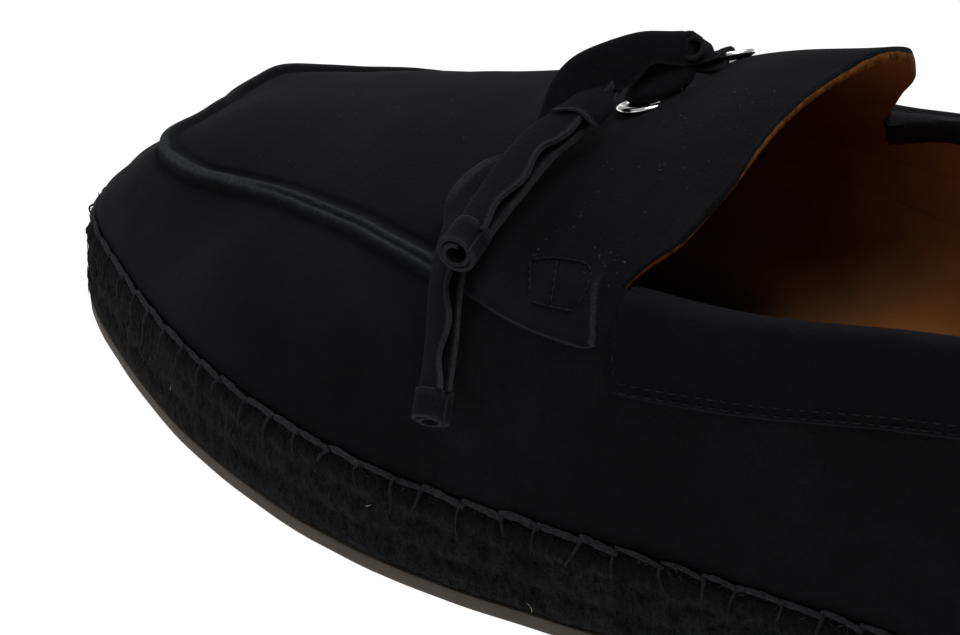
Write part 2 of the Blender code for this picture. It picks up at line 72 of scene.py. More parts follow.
# The last, a row for each section
LAST_COLUMNS = ("q", "lateral", "medial", "aim", "seam_in_l", "seam_in_m", "seam_z_l", "seam_z_m",
                "collar_in", "collar_z_l", "collar_z_m", "lean")
LAST = (
    (3.2, 7.5, 7.5, 40.0, 17.0, 17.0, 33.4, 33.4, 9.0, 51.0, 51.0, 1.3),
    (3.6, 0.3, 11.8, 40.2, 16.8, 16.4, 33.3, 33.6, 9.0, 51.0, 51.0, 1.3),
    (4.5, -5.8, 15.0, 40.6, 16.4, 16.0, 33.1, 33.9, 9.0, 51.0, 51.0, 1.3),
    (6.2, -12.0, 18.8, 41.6, 15.2, 15.6, 32.9, 34.6, 9.0, 51.0, 51.0, 1.3),
    (9.6, -18.6, 23.8, 43.2, 13.6, 14.6, 32.9, 35.6, 9.0, 51.0, 51.0, 1.3),
    (16.0, -24.0, 28.6, 46.2, 12.2, 13.8, 33.2, 36.2, 9.0, 51.0, 51.0, 1.35),
    (25.0, -29.6, 34.4, 50.4, 12.6, 14.2, 34.4, 36.8, 9.0, 51.0, 51.0, 1.45),
    (37.0, -36.2, 39.8, 56.6, 15.6, 15.2, 36.6, 38.4, 9.0, 51.0, 51.0, 1.55),
    (52.0, -42.9, 44.6, 66.0, 18.8, 16.6, 39.2, 39.6, 9.0, 51.0, 51.0, 1.7),
    (68.0, -47.9, 47.8, 78.0, 19.8, 17.2, 41.0, 41.0, 9.0, 51.0, 51.0, 1.7),
    (83.0, -50.8, 49.0, 90.8, 17.6, 16.0, 42.8, 42.2, 9.0, 51.0, 51.0, 1.7),
    (95.0, -51.6, 48.3, 101.8, 14.4, 13.4, 44.0, 43.0, 9.0, 51.0, 51.0, 1.6),
    (107.0, -51.1, 46.6, 115.0, 9.0, 9.0, 45.0, 44.4, 9.0, 51.0, 51.0, 1.5),
    (116.0, -49.8, 45.0, 126.0, 6.4, 6.4, 45.2, 45.2, 9.0, 51.0, 51.0, 1.5),
    (124.0, -48.6, 43.4, 136.0, 5.4, 5.4, 45.6, 45.6, 9.8, 51.6, 54.0, 1.5),
    (145.0, -45.6, 39.6, 149.0, 4.2, 4.2, 47.0, 47.0, 7.4, 54.2, 59.0, 1.5),
    (170.0, -42.4, 36.8, 170.0, 3.0, 3.0, 48.6, 48.6, 5.2, 59.6, 63.6, 1.5),
    (200.0, -39.8, 36.0, 198.0, 2.0, 2.0, 50.0, 50.0, 3.4, 65.4, 68.2, 1.5),
    (230.0, -37.5, 35.2, 224.0, 1.4, 1.4, 51.0, 51.0, 2.6, 70.4, 72.0, 1.5),
    (256.0, -33.0, 31.5, 240.0, 1.2, 1.2, 51.5, 51.5, 3.0, 73.8, 74.8, 1.5),
    (277.0, -22.5, 21.5, 247.0, 1.2, 1.2, 52.0, 52.0, 3.6, 76.2, 76.4, 1.5),
    (287.0, -10.5, 10.0, 248.0, 1.2, 1.2, 52.0, 52.0, 4.0, 77.0, 77.0, 1.5),
    (290.0, 0.0, 0.0, 248.0, 1.2, 1.2, 52.0, 52.0, 4.0, 77.2, 77.2, 1.5),
)
CROWN_COLUMNS = ("q", "z", "y")
CROWN = (
    (30.0, 39.7, 4.3),
    (40.0, 43.4, 3.5),
    (55.0, 48.6, 2.4),
    (75.0, 55.2, 1.2),
    (95.0, 61.7, 0.5),
    (105.0, 65.4, 0.2),
    (112.0, 68.2, 0.0),
    (118.0, 70.6, 0.0),
    (125.0, 72.8, 0.0),
    (136.0, 75.0, 0.0),
    (155.0, 79.0, 0.0),
    (250.0, 79.0, 0.0),
)
THROAT_COLUMNS = ("v", "back_l", "back_m", "up_l", "up_m")
THROAT = (
    (0.0, -0.8, 0.0, 0.0, 0.0),
    (0.126, -1.9, 0.4, 0.0, 0.4),
    (0.28, 1.8, 3.2, 0.0, 2.2),
    (0.43, 2.4, 6.2, 0.1, 3.2),
    (0.6, 1.4, 6.6, 0.1, 3.9),
    (0.78, 0.4, 4.6, 0.2, 3.2),
    (1.0, -0.3, -0.3, 0.4, 0.4),
)
THROAT_START = 104.0

# Routes of the tie's two ends: place, side and height of the middle line, width of the strip, and
# the turn of its face towards the heel in degrees
END_1 = (
    (110.4, -9.2, 68.4, 6.4, 20.0),
    (111.9, -6.4, 70.4, 6.8, 40.0),
    (111.9, -4.6, 72.4, 4.0, 40.0),
    (109.6, -6.6, 72.6, 2.4, 20.0),
    (106.8, -10.6, 70.4, 2.2, 0.0),
    (105.5, -14.5, 67.8, 4.4, 0.0),
    (104.9, -18.6, 66.0, 6.4, 0.0),
    (103.6, -22.4, 64.3, 7.4, 0.0),
    (102.0, -25.8, 62.2, 7.8, 0.0),
    (101.3, -30.0, 59.5, 7.8, 0.0),
    (101.0, -33.8, 57.0, 7.2, 0.0),
    (100.7, -39.4, 53.4, 6.4, 0.0),
)
END_2 = (
    (113.0, 5.0, 68.7, 2.4, 0.0),
    (113.8, 1.6, 69.4, 3.4, 10.0),
    (113.9, -1.4, 71.2, 5.4, 45.0),
    (112.2, -5.0, 73.0, 5.4, 68.0),
    (109.4, -8.5, 73.1, 5.8, 69.0),
    (106.1, -12.5, 71.4, 7.2, 69.0),
    (103.3, -15.0, 69.5, 7.4, 62.0),
    (101.4, -17.0, 67.2, 6.6, 46.0),
    (100.5, -18.8, 64.2, 5.4, 28.0),
    (99.8, -21.0, 61.2, 4.4, 10.0),
    (98.0, -24.2, 58.2, 4.2, 0.0),
    (94.6, -27.2, 55.0, 7.2, 0.0),
    (93.4, -29.9, 52.7, 7.6, 0.0),
    (95.0, -33.8, 50.6, 6.2, 0.0),
    (96.8, -38.6, 48.0, 6.0, 0.0),
    (98.7, -42.6, 44.4, 5.7, 0.0),
    (100.4, -45.3, 40.5, 5.5, 0.0),
    (101.7, -47.6, 37.0, 5.5, 0.0),
    (103.2, -50.6, 33.4, 5.6, 0.0),
)

# Camera of the photograph, in millimetres in the frame
CAMERA_AT = np.array([164.04, -342.88, 240.32])
CAMERA_TO = np.array([-65.80, -5.67, 19.18])
CAMERA_ROLL = 0.046
CAMERA_LENS = 111.2


def smooth(xs, ys, x):
    """Cubic through the rows of a table, with no overshoot between them."""
    xs = np.asarray(xs, float)
    ys = np.asarray(ys, float)
    step = np.diff(xs)
    slope = np.diff(ys) / step
    tangent = np.zeros_like(ys)
    same = slope[:-1] * slope[1:] > 0.0
    weight_a = 2.0 * step[1:] + step[:-1]
    weight_b = step[1:] + 2.0 * step[:-1]
    first = np.where(same, slope[:-1], 1.0)
    second = np.where(same, slope[1:], 1.0)
    mean = (weight_a + weight_b) / (weight_a / first + weight_b / second)
    tangent[1:-1] = np.where(same, mean, 0.0)
    tangent[0] = slope[0]
    tangent[-1] = slope[-1]
    x = np.clip(np.asarray(x, float), xs[0], xs[-1])
    k = np.clip(np.searchsorted(xs, x, side="right") - 1, 0, len(xs) - 2)
    u = (x - xs[k]) / step[k]
    rise = ys[k] + (ys[k + 1] - ys[k]) * u * u * (3.0 - 2.0 * u)
    return rise + step[k] * u * (1.0 - u) * (tangent[k] * (1.0 - u) - tangent[k + 1] * u)


def read(table, columns, column, x):
    k = columns.index(column)
    return smooth([row[0] for row in table], [row[k] for row in table], x)


def turn(q):
    """Angle that runs from the toe to the heel."""
    return np.arccos(np.clip(1.0 - 2.0 * (np.asarray(q, float) - TOE) / LENGTH, -1.0, 1.0))


def last(column, q):
    k = LAST_COLUMNS.index(column)
    return smooth(turn([row[0] for row in LAST]), [row[k] for row in LAST], turn(q))


def crown(column, q):
    return read(CROWN, CROWN_COLUMNS, column, q)


def spring(q):
    return SPRING * np.clip(1.0 - (np.asarray(q, float) - TOE) / SPRING_REACH, 0.0, None) ** 2


def mark(side):
    """Ending of the column for a side: -1 is the outer side and 1 the inner side."""
    return "_l" if side < 0 else "_m"


def edge(side, q):
    return last("lateral" if side < 0 else "medial", q)


def lines(side, q):
    """Foot of the wall, apron seam, crown and collar of the section at q."""
    q = np.asarray(q, float)
    place = last("aim", q)
    top = np.stack([place, crown("y", place), crown("z", place)], axis=-1)
    rim = np.stack([q, edge(side, q)], axis=-1)
    way = top[..., :2] - rim
    way = way / np.linalg.norm(way, axis=-1, keepdims=True)

    def inset(distance, height):
        plan = rim + way * np.asarray(distance, float)[..., None]
        return np.concatenate([plan, np.asarray(height, float)[..., None]], axis=-1)

    foot = inset(np.full_like(q, FEATHER_IN), ROPE_TOP + GAP + spring(q))
    seam = inset(last("seam_in" + mark(side), q), last("seam_z" + mark(side), q))
    collar = inset(last("collar_in", q), last("collar_z" + mark(side), q))
    return foot, seam, top, collar


def wall_point(side, q, w):
    foot, seam = lines(side, q)[:2]
    w = np.asarray(w, float)[..., None]
    lean = last("lean", q)[..., None]
    plan = foot[..., :2] + (seam[..., :2] - foot[..., :2]) * np.clip(w, 0.0, None) ** lean
    height = foot[..., 2:] + (seam[..., 2:] - foot[..., 2:]) * w
    return np.concatenate([plan, height], axis=-1)


def apron_point(side, q, v):
    seam, top = lines(side, q)[1:3]
    v = np.asarray(v, float)
    ahead = 0.5
    slope = (crown("z", top[..., 0] + ahead) - crown("z", top[..., 0] - ahead)) / (2.0 * ahead)
    end = slope * (top[..., 0] - seam[..., 0])
    rise = top[..., 2] - seam[..., 2]
    height = seam[..., 2] + (2.0 * rise - end) * v + (end - rise) * v * v
    plan = seam[..., :2] + (top[..., :2] - seam[..., :2]) * v[..., None]
    near = np.clip((np.asarray(q, float) - THROAT_START) / (CORNER_Q - THROAT_START), 0.0, 1.0) ** 2
    back = near * read(THROAT, THROAT_COLUMNS, "back" + mark(side), v)
    up = near * read(THROAT, THROAT_COLUMNS, "up" + mark(side), v)
    return np.stack([plan[..., 0] + back, plan[..., 1], height + up], axis=-1)


def quarter_point(side, q, c):
    seam, collar = lines(side, q)[1::2]
    return seam + (collar - seam) * np.asarray(c, float)[..., None]


def rear_point(side, q, z):
    """Outer face behind the throat at the height z."""
    foot, seam, _, collar = lines(side, q)
    z = np.asarray(z, float)
    low = wall_point(side, q, np.clip((z - foot[..., 2]) / (seam[..., 2] - foot[..., 2]), 0.0, 1.0))
    high = quarter_point(side, q, (z - seam[..., 2]) / (collar[..., 2] - seam[..., 2]))
    return np.where((z > seam[..., 2])[..., None], high, low)


def unit(v):
    return v / np.linalg.norm(v, axis=-1, keepdims=True)


def ease(low, high, x):
    """Smooth step from 0 at low to 1 at high."""
    t = np.clip((np.asarray(x, float) - low) / (high - low), 0.0, 1.0)
    return t * t * (3.0 - 2.0 * t)


def wobble(points, size, seed):
    """Smooth noise from -1 to 1 at the points, with features of the given size."""
    flat = np.asarray(points, float).reshape(-1, 3) / size + seed
    values = np.array([noise.noise(Vector(p)) for p in flat])
    return values.reshape(np.shape(points)[:-1])


def apron_frame(side, q, v):
    """Point of the apron with its outward direction."""
    small = 0.2
    point = apron_point(side, q, v)
    along = apron_point(side, q + small, v) - apron_point(side, q - small, v)
    across = apron_point(side, q, v + 0.01) - apron_point(side, q, v - 0.01)
    out = unit(np.cross(along, across))
    return point, out * np.sign(out[..., 2:])


# Materials
class Look:
    """Principled material, with short calls for its nodes."""

    def __init__(self, name, **values):
        self.mat = bpy.data.materials.new(name)
        self.mat.use_nodes = True
        self.tree = self.mat.node_tree
        self.main = self.tree.nodes["Principled BSDF"]
        self.place = self.tree.nodes.new("ShaderNodeTexCoord").outputs["Object"]
        for key, value in values.items():
            self.feed(self.main.inputs[key.replace("_", " ")], value)

    def feed(self, socket, value):
        if isinstance(value, bpy.types.NodeSocket):
            self.tree.links.new(value, socket)
        elif isinstance(value, tuple) and len(value) == 3 and socket.type == "RGBA":
            socket.default_value = (*value, 1.0)
        else:
            socket.default_value = value

    def node(self, kind, settings, inputs):
        made = self.tree.nodes.new(kind)
        for key, value in settings.items():
            setattr(made, key, value)
        for key, value in inputs.items():
            self.feed(made.inputs[key], value)
        return made

    def noise(self, size, detail=3.0, stretch=(1.0, 1.0, 1.0)):
        """Noise with features of a size in millimetres."""
        scale = tuple(s / (size * MM) for s in stretch)
        where = self.node("ShaderNodeMapping", {}, {"Vector": self.place, "Scale": scale})
        made = self.node("ShaderNodeTexNoise", {}, {"Vector": where.outputs[0], "Scale": 1.0,
                                                    "Detail": detail, "Roughness": 0.6})
        return made.outputs["Fac"]

    def cells(self, size):
        made = self.node("ShaderNodeTexVoronoi", {"feature": "F1"},
                         {"Vector": self.place, "Scale": 1.0 / (size * MM)})
        return made.outputs["Distance"]

    def span(self, value, low, high, to_low=0.0, to_high=1.0):
        made = self.node("ShaderNodeMapRange", {}, {"Value": value, "From Min": low, "From Max": high,
                                                    "To Min": to_low, "To Max": to_high})
        return made.outputs[0]

    def blend(self, share, first, second):
        made = self.node("ShaderNodeMix", {"data_type": "RGBA"}, {})
        self.feed(made.inputs[0], share)
        self.feed(made.inputs[6], first)
        self.feed(made.inputs[7], second)
        return made.outputs[2]

    def maths(self, operation, first, second):
        made = self.node("ShaderNodeMath", {"operation": operation}, {})
        self.feed(made.inputs[0], first)
        self.feed(made.inputs[1], second)
        return made.outputs[0]

    def attribute(self, name):
        return self.node("ShaderNodeAttribute", {"attribute_name": name}, {}).outputs["Fac"]

    def colour(self, value):
        self.feed(self.main.inputs["Base Color"], value)

    def bump(self, height, strength, depth):
        """Bump of a depth in millimetres, over any that is there already."""
        made = self.node("ShaderNodeBump", {}, {"Height": height, "Strength": strength,
                                                "Distance": depth * MM})
        before = self.main.inputs["Normal"]
        if before.is_linked:
            self.tree.links.new(before.links[0].from_socket, made.inputs["Normal"])
        self.tree.links.new(made.outputs[0], before)


def suede(name, dark, light, raw, sheen):
    """Brushed suede: mottled nap, with paler raw edges where the piece's raw value is 1."""
    look = Look(name, Roughness=0.9, Specular_IOR_Level=0.03, Sheen_Weight=sheen, Sheen_Roughness=0.45,
                Sheen_Tint=(0.72, 0.76, 0.9))
    nap = look.noise(26.0, 4.0)
    brushed = look.noise(4.5, 3.0)
    fine = look.noise(0.55, 4.0)
    share = look.maths("MULTIPLY", look.span(nap, 0.3, 0.7), look.span(fine, 0.25, 0.75, 0.25, 1.0))
    share = look.maths("MULTIPLY", share, look.span(brushed, 0.3, 0.7, 0.6, 1.0))
    body = look.blend(share, dark, light)
    edges = look.maths("MULTIPLY", look.attribute("raw"), look.span(fine, 0.3, 0.65, 0.35, 1.0))
    look.colour(look.blend(edges, body, raw))
    look.bump(look.noise(3.2, 3.0), 0.12, 0.5)
    look.bump(fine, 0.7, 0.3)
    return look.mat


# Colour of the painted shade on the leather
SHADED = (0.012, 0.007, 0.006)


def leather(name, dark, light, painted_shade_ahead=None, patches=18.0):
    """Tan leather with fine grain and soft patches, with painted shade towards the toe where given, and
    painted shade where the piece's raw value is up.
    """
    look = Look(name, Specular_IOR_Level=0.02)
    patch = look.noise(patches, 4.0)
    colour = look.blend(look.span(patch, 0.3, 0.7), dark, light)
    if painted_shade_ahead:
        # Painted shade: the colour darkens towards SHADED ahead of the given places, for the dark inside of
        # the toe
        q_dark, q_light, least = painted_shade_ahead
        ahead = look.node("ShaderNodeSeparateXYZ", {}, {"Vector": look.place}).outputs["X"]
        low, high = ((q - MIDDLE[0]) * MM for q in (q_dark, q_light))
        share = look.node("ShaderNodeMapRange", {"interpolation_type": "SMOOTHSTEP"},
                          {"Value": ahead, "From Min": low, "From Max": high, "To Min": least})
        colour = look.blend(share.outputs[0], SHADED, colour)
    # Painted shade where the piece's raw value is up
    look.colour(look.blend(look.attribute("raw"), colour, SHADED))
    look.feed(look.main.inputs["Roughness"], look.span(look.noise(2.0), 0.3, 0.7, 0.7, 0.9))
    look.bump(look.cells(0.7), 0.25, 0.12)
    return look.mat


# Heights over which painted shade darkens the rope under the welt
ROPE_SHADE = (13.4 * MM, 15.6 * MM)


def rope_look():
    """Blackened rope: streaky twisted fibres, with painted shade under the welt."""
    look = Look("rope", Roughness=0.95, Specular_IOR_Level=0.03, Sheen_Weight=0.03, Sheen_Roughness=0.5,
                Sheen_Tint=(0.75, 0.78, 0.85))
    streak = look.noise(0.8, 5.0, (1.0, 1.0, 0.6))
    patch = look.noise(4.0, 4.0)
    share = look.maths("MULTIPLY", look.span(streak, 0.35, 0.7), look.span(patch, 0.25, 0.7, 0.3, 1.0))
    height = look.node("ShaderNodeSeparateXYZ", {}, {"Vector": look.place}).outputs["Z"]
    # Painted shade: darker towards the top, under the welt
    share = look.maths("MULTIPLY", share, look.span(height, *ROPE_SHADE, 1.0, 0.12))
    look.colour(look.blend(share, (0.0030, 0.0030, 0.0033), (0.0185, 0.0185, 0.0200)))
    look.bump(streak, 0.9, 0.9)
    look.bump(look.noise(0.4, 3.0), 0.9, 0.5)
    return look.mat


def thread_look(name, dark, light, size):
    look = Look(name, Roughness=0.9, Specular_IOR_Level=0.05, Sheen_Weight=0.02,
                Sheen_Tint=(0.8, 0.85, 0.95))
    twist = look.noise(size, 4.0)
    look.colour(look.blend(look.span(twist, 0.3, 0.7), dark, light))
    look.bump(twist, 0.7, size * 0.4)
    return look.mat


def rubber_look():
    """Dark rubber, mottled with dust."""
    look = Look("rubber", Specular_IOR_Level=0.2)
    dust = look.noise(5.0, 5.0)
    speck = look.noise(0.5, 3.0)
    share = look.maths("MULTIPLY", look.span(dust, 0.3, 0.7, 0.4, 1.0), look.span(speck, 0.3, 0.7, 0.6, 1.0))
    look.colour(look.blend(share, (0.032, 0.026, 0.021), (0.086, 0.072, 0.059)))
    look.feed(look.main.inputs["Roughness"], look.span(dust, 0.3, 0.7, 0.7, 0.9))
    look.bump(speck, 0.5, 0.2)
    return look.mat


def steel_look():
    look = Look("polished_steel", Metallic=1.0)
    wear = look.noise(0.8, 4.0)
    look.colour(look.blend(look.span(wear, 0.35, 0.7), (0.86, 0.86, 0.85), (0.95, 0.95, 0.94)))
    look.feed(look.main.inputs["Roughness"], look.span(wear, 0.3, 0.7, 0.08, 0.2))
    return look.mat


UPPER_SUEDE = suede("upper_suede", (0.0030, 0.0030, 0.0036), (0.0098, 0.0097, 0.0112),
                    (0.026, 0.029, 0.034), 0.02)
BAND_SUEDE = suede("band_suede", (0.0028, 0.0026, 0.0032), (0.0070, 0.0066, 0.0082),
                   (0.012, 0.012, 0.014), 0.015)
# Lighter copy of the band's suede for its turned-in inside: painted light
BAND_INSIDE_PAINTED_LIGHT = suede("band_inside_painted_light", (0.011, 0.011, 0.0125), (0.020, 0.020, 0.0225),
                    (0.02, 0.02, 0.0225), 0.02)
TIE_SUEDE = suede("tie_suede", (0.0028, 0.0028, 0.0034), (0.0070, 0.0070, 0.0082),
                  (0.022, 0.0225, 0.0245), 0.02)
# The lining darkens towards the toe with painted shade
LINING = leather("lining_leather", (0.20, 0.078, 0.023), (0.32, 0.124, 0.036), (114.0, 141.0, 0.36))
CUT_EDGE = leather("cut_edge_leather", (0.036, 0.013, 0.003), (0.17, 0.060, 0.014), patches=1.0)
# The insole darkens towards the toe with painted shade
INSOLE = leather("insole_leather", (0.10, 0.036, 0.009), (0.15, 0.053, 0.013), (112.0, 136.0, 0.02))
ROPE = rope_look()
WELT_THREAD = thread_look("welt_thread", (0.006, 0.0062, 0.007), (0.025, 0.0255, 0.028), 0.5)
LEG_THREAD = thread_look("leg_thread", (0.004, 0.0042, 0.0048), (0.018, 0.0185, 0.0205), 0.5)
SEW_THREAD = thread_look("sewing_thread", (0.004, 0.004, 0.0045), (0.014, 0.014, 0.0155), 0.25)
FIBRE = thread_look("rope_fibre", (0.003, 0.003, 0.0033), (0.013, 0.013, 0.014), 1.5)
PALE_FIBRE = thread_look("pale_fibre", (0.10, 0.09, 0.07), (0.42, 0.38, 0.30), 0.6)
LINT = thread_look("lint", (0.02, 0.021, 0.023), (0.07, 0.075, 0.08), 0.4)
RUBBER = rubber_look()
STEEL = steel_look()


# Pieces
def put(points):
    return (np.asarray(points, float) - MIDDLE) * MM


def piece(name, points, faces, mats, slots=None, raw=None):
    """Mesh piece from points in millimetres, riding on the shoe."""
    mesh = bpy.data.meshes.new(name)
    mesh.from_pydata(put(points).tolist(), [], [list(face) for face in faces])
    for mat in mats:
        mesh.materials.append(mat)
    if slots is not None:
        mesh.polygons.foreach_set("material_index", np.asarray(slots, np.int32))
    values = np.zeros(len(points)) if raw is None else raw
    mesh.attributes.new("raw", "FLOAT", "POINT").data.foreach_set("value", np.asarray(values, np.float32))
    mesh.shade_smooth()
    mesh.set_sharp_from_angle(angle=math.radians(50.0))
    mesh.validate()
    thing = bpy.data.objects.new(name, mesh)
    bpy.context.collection.objects.link(thing)
    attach(thing, "root")
    return thing


def ring_faces(rings, sides):
    """Faces of a tube of closed rings, as rows of point numbers."""
    a = np.arange(rings - 1)[:, None] * sides
    i = np.arange(sides)[None, :]
    j = (i + 1) % sides
    return np.stack([a + i, a + j, a + sides + j, a + sides + i], axis=-1).reshape(-1, 4)


def tube_faces(rings, sides):
    """Faces of a tube of closed rings, with both its ends capped."""
    end = (rings - 1) * sides
    return ring_faces(rings, sides).tolist() + [list(range(sides))[::-1], list(range(end, end + sides))]


def grid_faces(grid):
    """Faces between the rows and columns of a grid of point numbers."""
    corners = (grid[:-1, :-1], grid[1:, :-1], grid[1:, 1:], grid[:-1, 1:])
    return np.stack(corners, axis=-1).reshape(-1, 4)


def run_along(line):
    """Distance along a line at each of its points."""
    return np.concatenate([[0.0], np.cumsum(np.linalg.norm(np.diff(line, axis=0), axis=1))])


def strip_frame(path, outs):
    """Directions along a strip, across it and up from its face."""
    along = unit(np.gradient(path, axis=0))
    across = unit(np.cross(along, outs))
    return along, across, np.cross(across, along)


def strands(name, paths, outs, radii, sides, mats, slots=None):
    """Many thin tubes as one piece; paths and outs are strand by point by axis."""
    paths = np.asarray(paths, float)
    count, length = paths.shape[:2]
    along = unit(np.gradient(paths, axis=1) + 1e-9)
    across = unit(np.cross(along, outs))
    up = np.cross(across, along)
    angle = np.arange(sides) * 2.0 * math.pi / sides
    radii = np.broadcast_to(radii, (count, length))[:, :, None, None]
    ring = (np.cos(angle)[:, None] * across[:, :, None, :] + np.sin(angle)[:, None] * up[:, :, None, :])
    points = paths[:, :, None, :] + ring * radii
    faces = ring_faces(length, sides)
    step = np.arange(count)[:, None, None] * length * sides
    body = (faces[None] + step).reshape(-1, 4).tolist()
    first = np.arange(sides)[::-1]
    ends = np.concatenate([step[:, 0] + first, step[:, 0] + (length - 1) * sides + np.arange(sides)])
    body += ends.tolist()
    marks = None
    if slots is not None:
        marks = np.concatenate([np.repeat(slots, len(faces)), slots, slots])
    return piece(name, points.reshape(-1, 3), body, mats, marks)


# Camera and stage
def make_camera():
    back = unit(CAMERA_AT - CAMERA_TO)
    right = unit(np.cross([0.0, 0.0, 1.0], back))
    up = np.cross(back, right)
    c, s = math.cos(CAMERA_ROLL), math.sin(CAMERA_ROLL)
    right, up = c * right + s * up, c * up - s * right
    data = bpy.data.cameras.new("camera")
    data.lens = CAMERA_LENS
    data.sensor_fit = "HORIZONTAL"
    data.sensor_width = 36.0
    data.clip_start = 0.01
    camera = bpy.data.objects.new("camera", data)
    bpy.context.collection.objects.link(camera)
    rows = [[*(axis[k] for axis in (right, up, back)), CAMERA_AT[k] * MM] for k in range(3)]
    camera.matrix_world = Matrix(rows + [[0.0, 0.0, 0.0, 1.0]])
    bpy.context.scene.camera = camera


def make_light(name, at, to, size, power, colour):
    data = bpy.data.lights.new(name, "AREA")
    data.shape = "RECTANGLE"
    data.size, data.size_y = size
    data.energy = power
    data.color = colour
    lamp = bpy.data.objects.new(name, data)
    bpy.context.collection.objects.link(lamp)
    lamp.location = at
    lamp.rotation_euler = (Vector(to) - Vector(at)).to_track_quat("-Z", "Y").to_euler()


def make_stage():
    mesh = bpy.data.meshes.new("floor")
    reach = 3.0
    mesh.from_pydata([(-reach, -reach, 0.0), (reach, -reach, 0.0), (reach, reach, 0.0),
                      (-reach, reach, 0.0)], [], [(0, 1, 2, 3)])
    look = Look("floor", Base_Color=(0.1, 0.1, 0.1), Roughness=0.9, Specular_IOR_Level=0.0,
                Emission_Color=(1.0, 1.0, 1.0), Emission_Strength=0.97)
    mesh.materials.append(look.mat)
    floor = bpy.data.objects.new("floor", mesh)
    bpy.context.collection.objects.link(floor)
    world = bpy.data.worlds.new("studio")
    world.use_nodes = True
    world.node_tree.nodes["Background"].inputs["Color"].default_value = (1.0, 1.0, 1.0, 1.0)
    world.node_tree.nodes["Background"].inputs["Strength"].default_value = 0.32
    bpy.context.scene.world = world
    make_light("key", (0.35, 0.15, 1.45), (0.0, 0.0, 0.03), (0.9, 0.9), 19.0, (1.0, 0.99, 0.98))
    make_light("back", (-0.6, 0.9, 1.0), (-0.03, 0.0, 0.03), (0.9, 0.6), 6.0, (0.96, 0.98, 1.0))
    make_light("toe", (-0.9, -0.3, 0.6), (-0.12, 0.0, 0.03), (0.5, 0.5), 2.2, (0.96, 0.98, 1.0))
    bpy.context.scene.view_settings.view_transform = "Standard"


# The tie: a strip folded in two, whose fold parts again and again along its run
STRIP_STEP = 0.6
STRIP_SHEET = 0.75
STRIP_SHUT = 9.0
FOLD_FLAT = 0.86
OPEN_REACH = 10.0

# The knot's turn over the first end, and the second end's raw tuft and curl
HOOD = ((105.5, -14.5, 67.8), (104.6, -21.0, 65.0))
HOOD_SIDES = 24
TUFT = (94.4, -27.8, 54.5)
TUFT_REACH = 3.4
CURL_AT = (113.9, -5.0, 74.0)
CURL_AXIS = (-0.15, 0.9, -0.55)
CURL_SIZE = (2.5, 5.0, 1.35)
CURL_RAW = 0.4

# Widths of each strip up through its eyelet, and its rise above it
STEM_WIDTHS = {-1: (3.6, 3.6, 4.4), 1: (3.0, 2.4, 2.2)}
STEM_RISE = {-1: 1.0, 1: 0.3}

# Leaning of each eyelet's ring with the pulled leather, and its lift
EYELET_LEAN = {-1: (0.08, 0.31, 0.05), 1: (0.0, 0.0, 0.0)}
EYELET_LIFT = {-1: -1.3, 1: -0.4}
EYELET_FLAT = 0.5

# Radius and length of each cuff, its turns, and its lean out from the foot
CUFFS = {1: (3.3, 5.6, 1.9, 0.55), 2: (3.0, 4.6, 2.1, 0.0)}
CUFF_OUT = np.array([0.5, -0.75, 0.43])

# Section of a rolled sheet: share out through it, share along the axis, and raw value
ROLL_SECTION = ((1.0, 0.02, 0.9), (1.0, 0.10, 0.35), (1.0, 0.35, 0.0), (1.0, 0.65, 0.0), (1.0, 0.90, 0.15),
                (1.0, 0.98, 0.9), (0.7, 1.0, 1.0), (0.3, 1.0, 1.0), (0.0, 0.98, 0.6), (0.0, 0.65, 0.0),
                (0.0, 0.35, 0.0), (0.0, 0.02, 0.6), (0.3, 0.0, 1.0), (0.7, 0.0, 1.0))
ROLL_SHEET = 0.7
ROLL_PITCH = 0.84
ROLL_START = 2.2
ROLL_ASIDE = (0.3, 0.2, 0.9)


def route(rows, step):
    """Even rows along a smooth curve through the rows of a strip's route."""
    rows = np.asarray(rows, float)
    run = run_along(rows[:, :3])
    spots = np.linspace(0.0, run[-1], int(round(run[-1] / step)) + 1)
    return np.stack([smooth(run, column, spots) for column in rows.T], axis=-1), spots


def strip_face(path, lean):
    """Direction of a strip's face: away from the foot, turned about the strip by the lean."""
    along = unit(np.gradient(path, axis=0))
    foot = np.stack([path[:, 0] + FOOT_BACK, np.zeros(len(path)), np.full(len(path), FOOT_HIGH)], axis=-1)
    away = path - foot
    away = unit(away - along * np.sum(away * along, axis=-1, keepdims=True))
    heelward = np.cross(along, away)
    heelward = heelward * np.sign(heelward[:, :1])
    angle = np.radians(lean)[:, None]
    return away * np.cos(angle) + heelward * np.sin(angle)


def fold_profile(width, thick, sheet, top_in, low_in, open_up):
    """Section of a strip folded in two, open on its +x side, as points with their raw values."""
    a, h = width / 2.0, thick / 2.0
    k = min(sheet, h * 0.9)
    bend = np.linspace(0.0, 1.0, 7)
    turn_out = np.linspace(0.5, 1.5, 7) * math.pi
    turn_in = turn_out[::-1]
    lift = open_up * bend[::-1] ** 2
    swell = h * (FOLD_FLAT + (1.0 - FOLD_FLAT) * np.sin(bend * math.pi))
    top = np.stack([a - top_in - (2.0 * a - h - top_in) * bend, swell + lift], 1)
    fold = np.stack([-a + h + h * np.cos(turn_out), h * FOLD_FLAT * np.sin(turn_out)], 1)[1:-1]
    low = np.stack([-a + h + (2.0 * a - h - low_in) * bend, np.full(7, -h * FOLD_FLAT)], 1)
    low_back = low[::-1] + np.array([0.0, k])
    inner = h - k
    fold_back = np.stack([-a + h + inner * np.cos(turn_in), inner * FOLD_FLAT * np.sin(turn_in)], 1)[1:-1]
    top_back = top[::-1] - np.array([0.0, k])
    points = np.concatenate([top, fold, low, low_back, fold_back, top_back])
    raw = np.zeros(len(points))
    raw[[0, len(points) - 1]] = 1.0
    edge_low = len(top) + len(fold) + len(low)
    raw[[edge_low - 1, edge_low]] = 1.0
    return points, raw


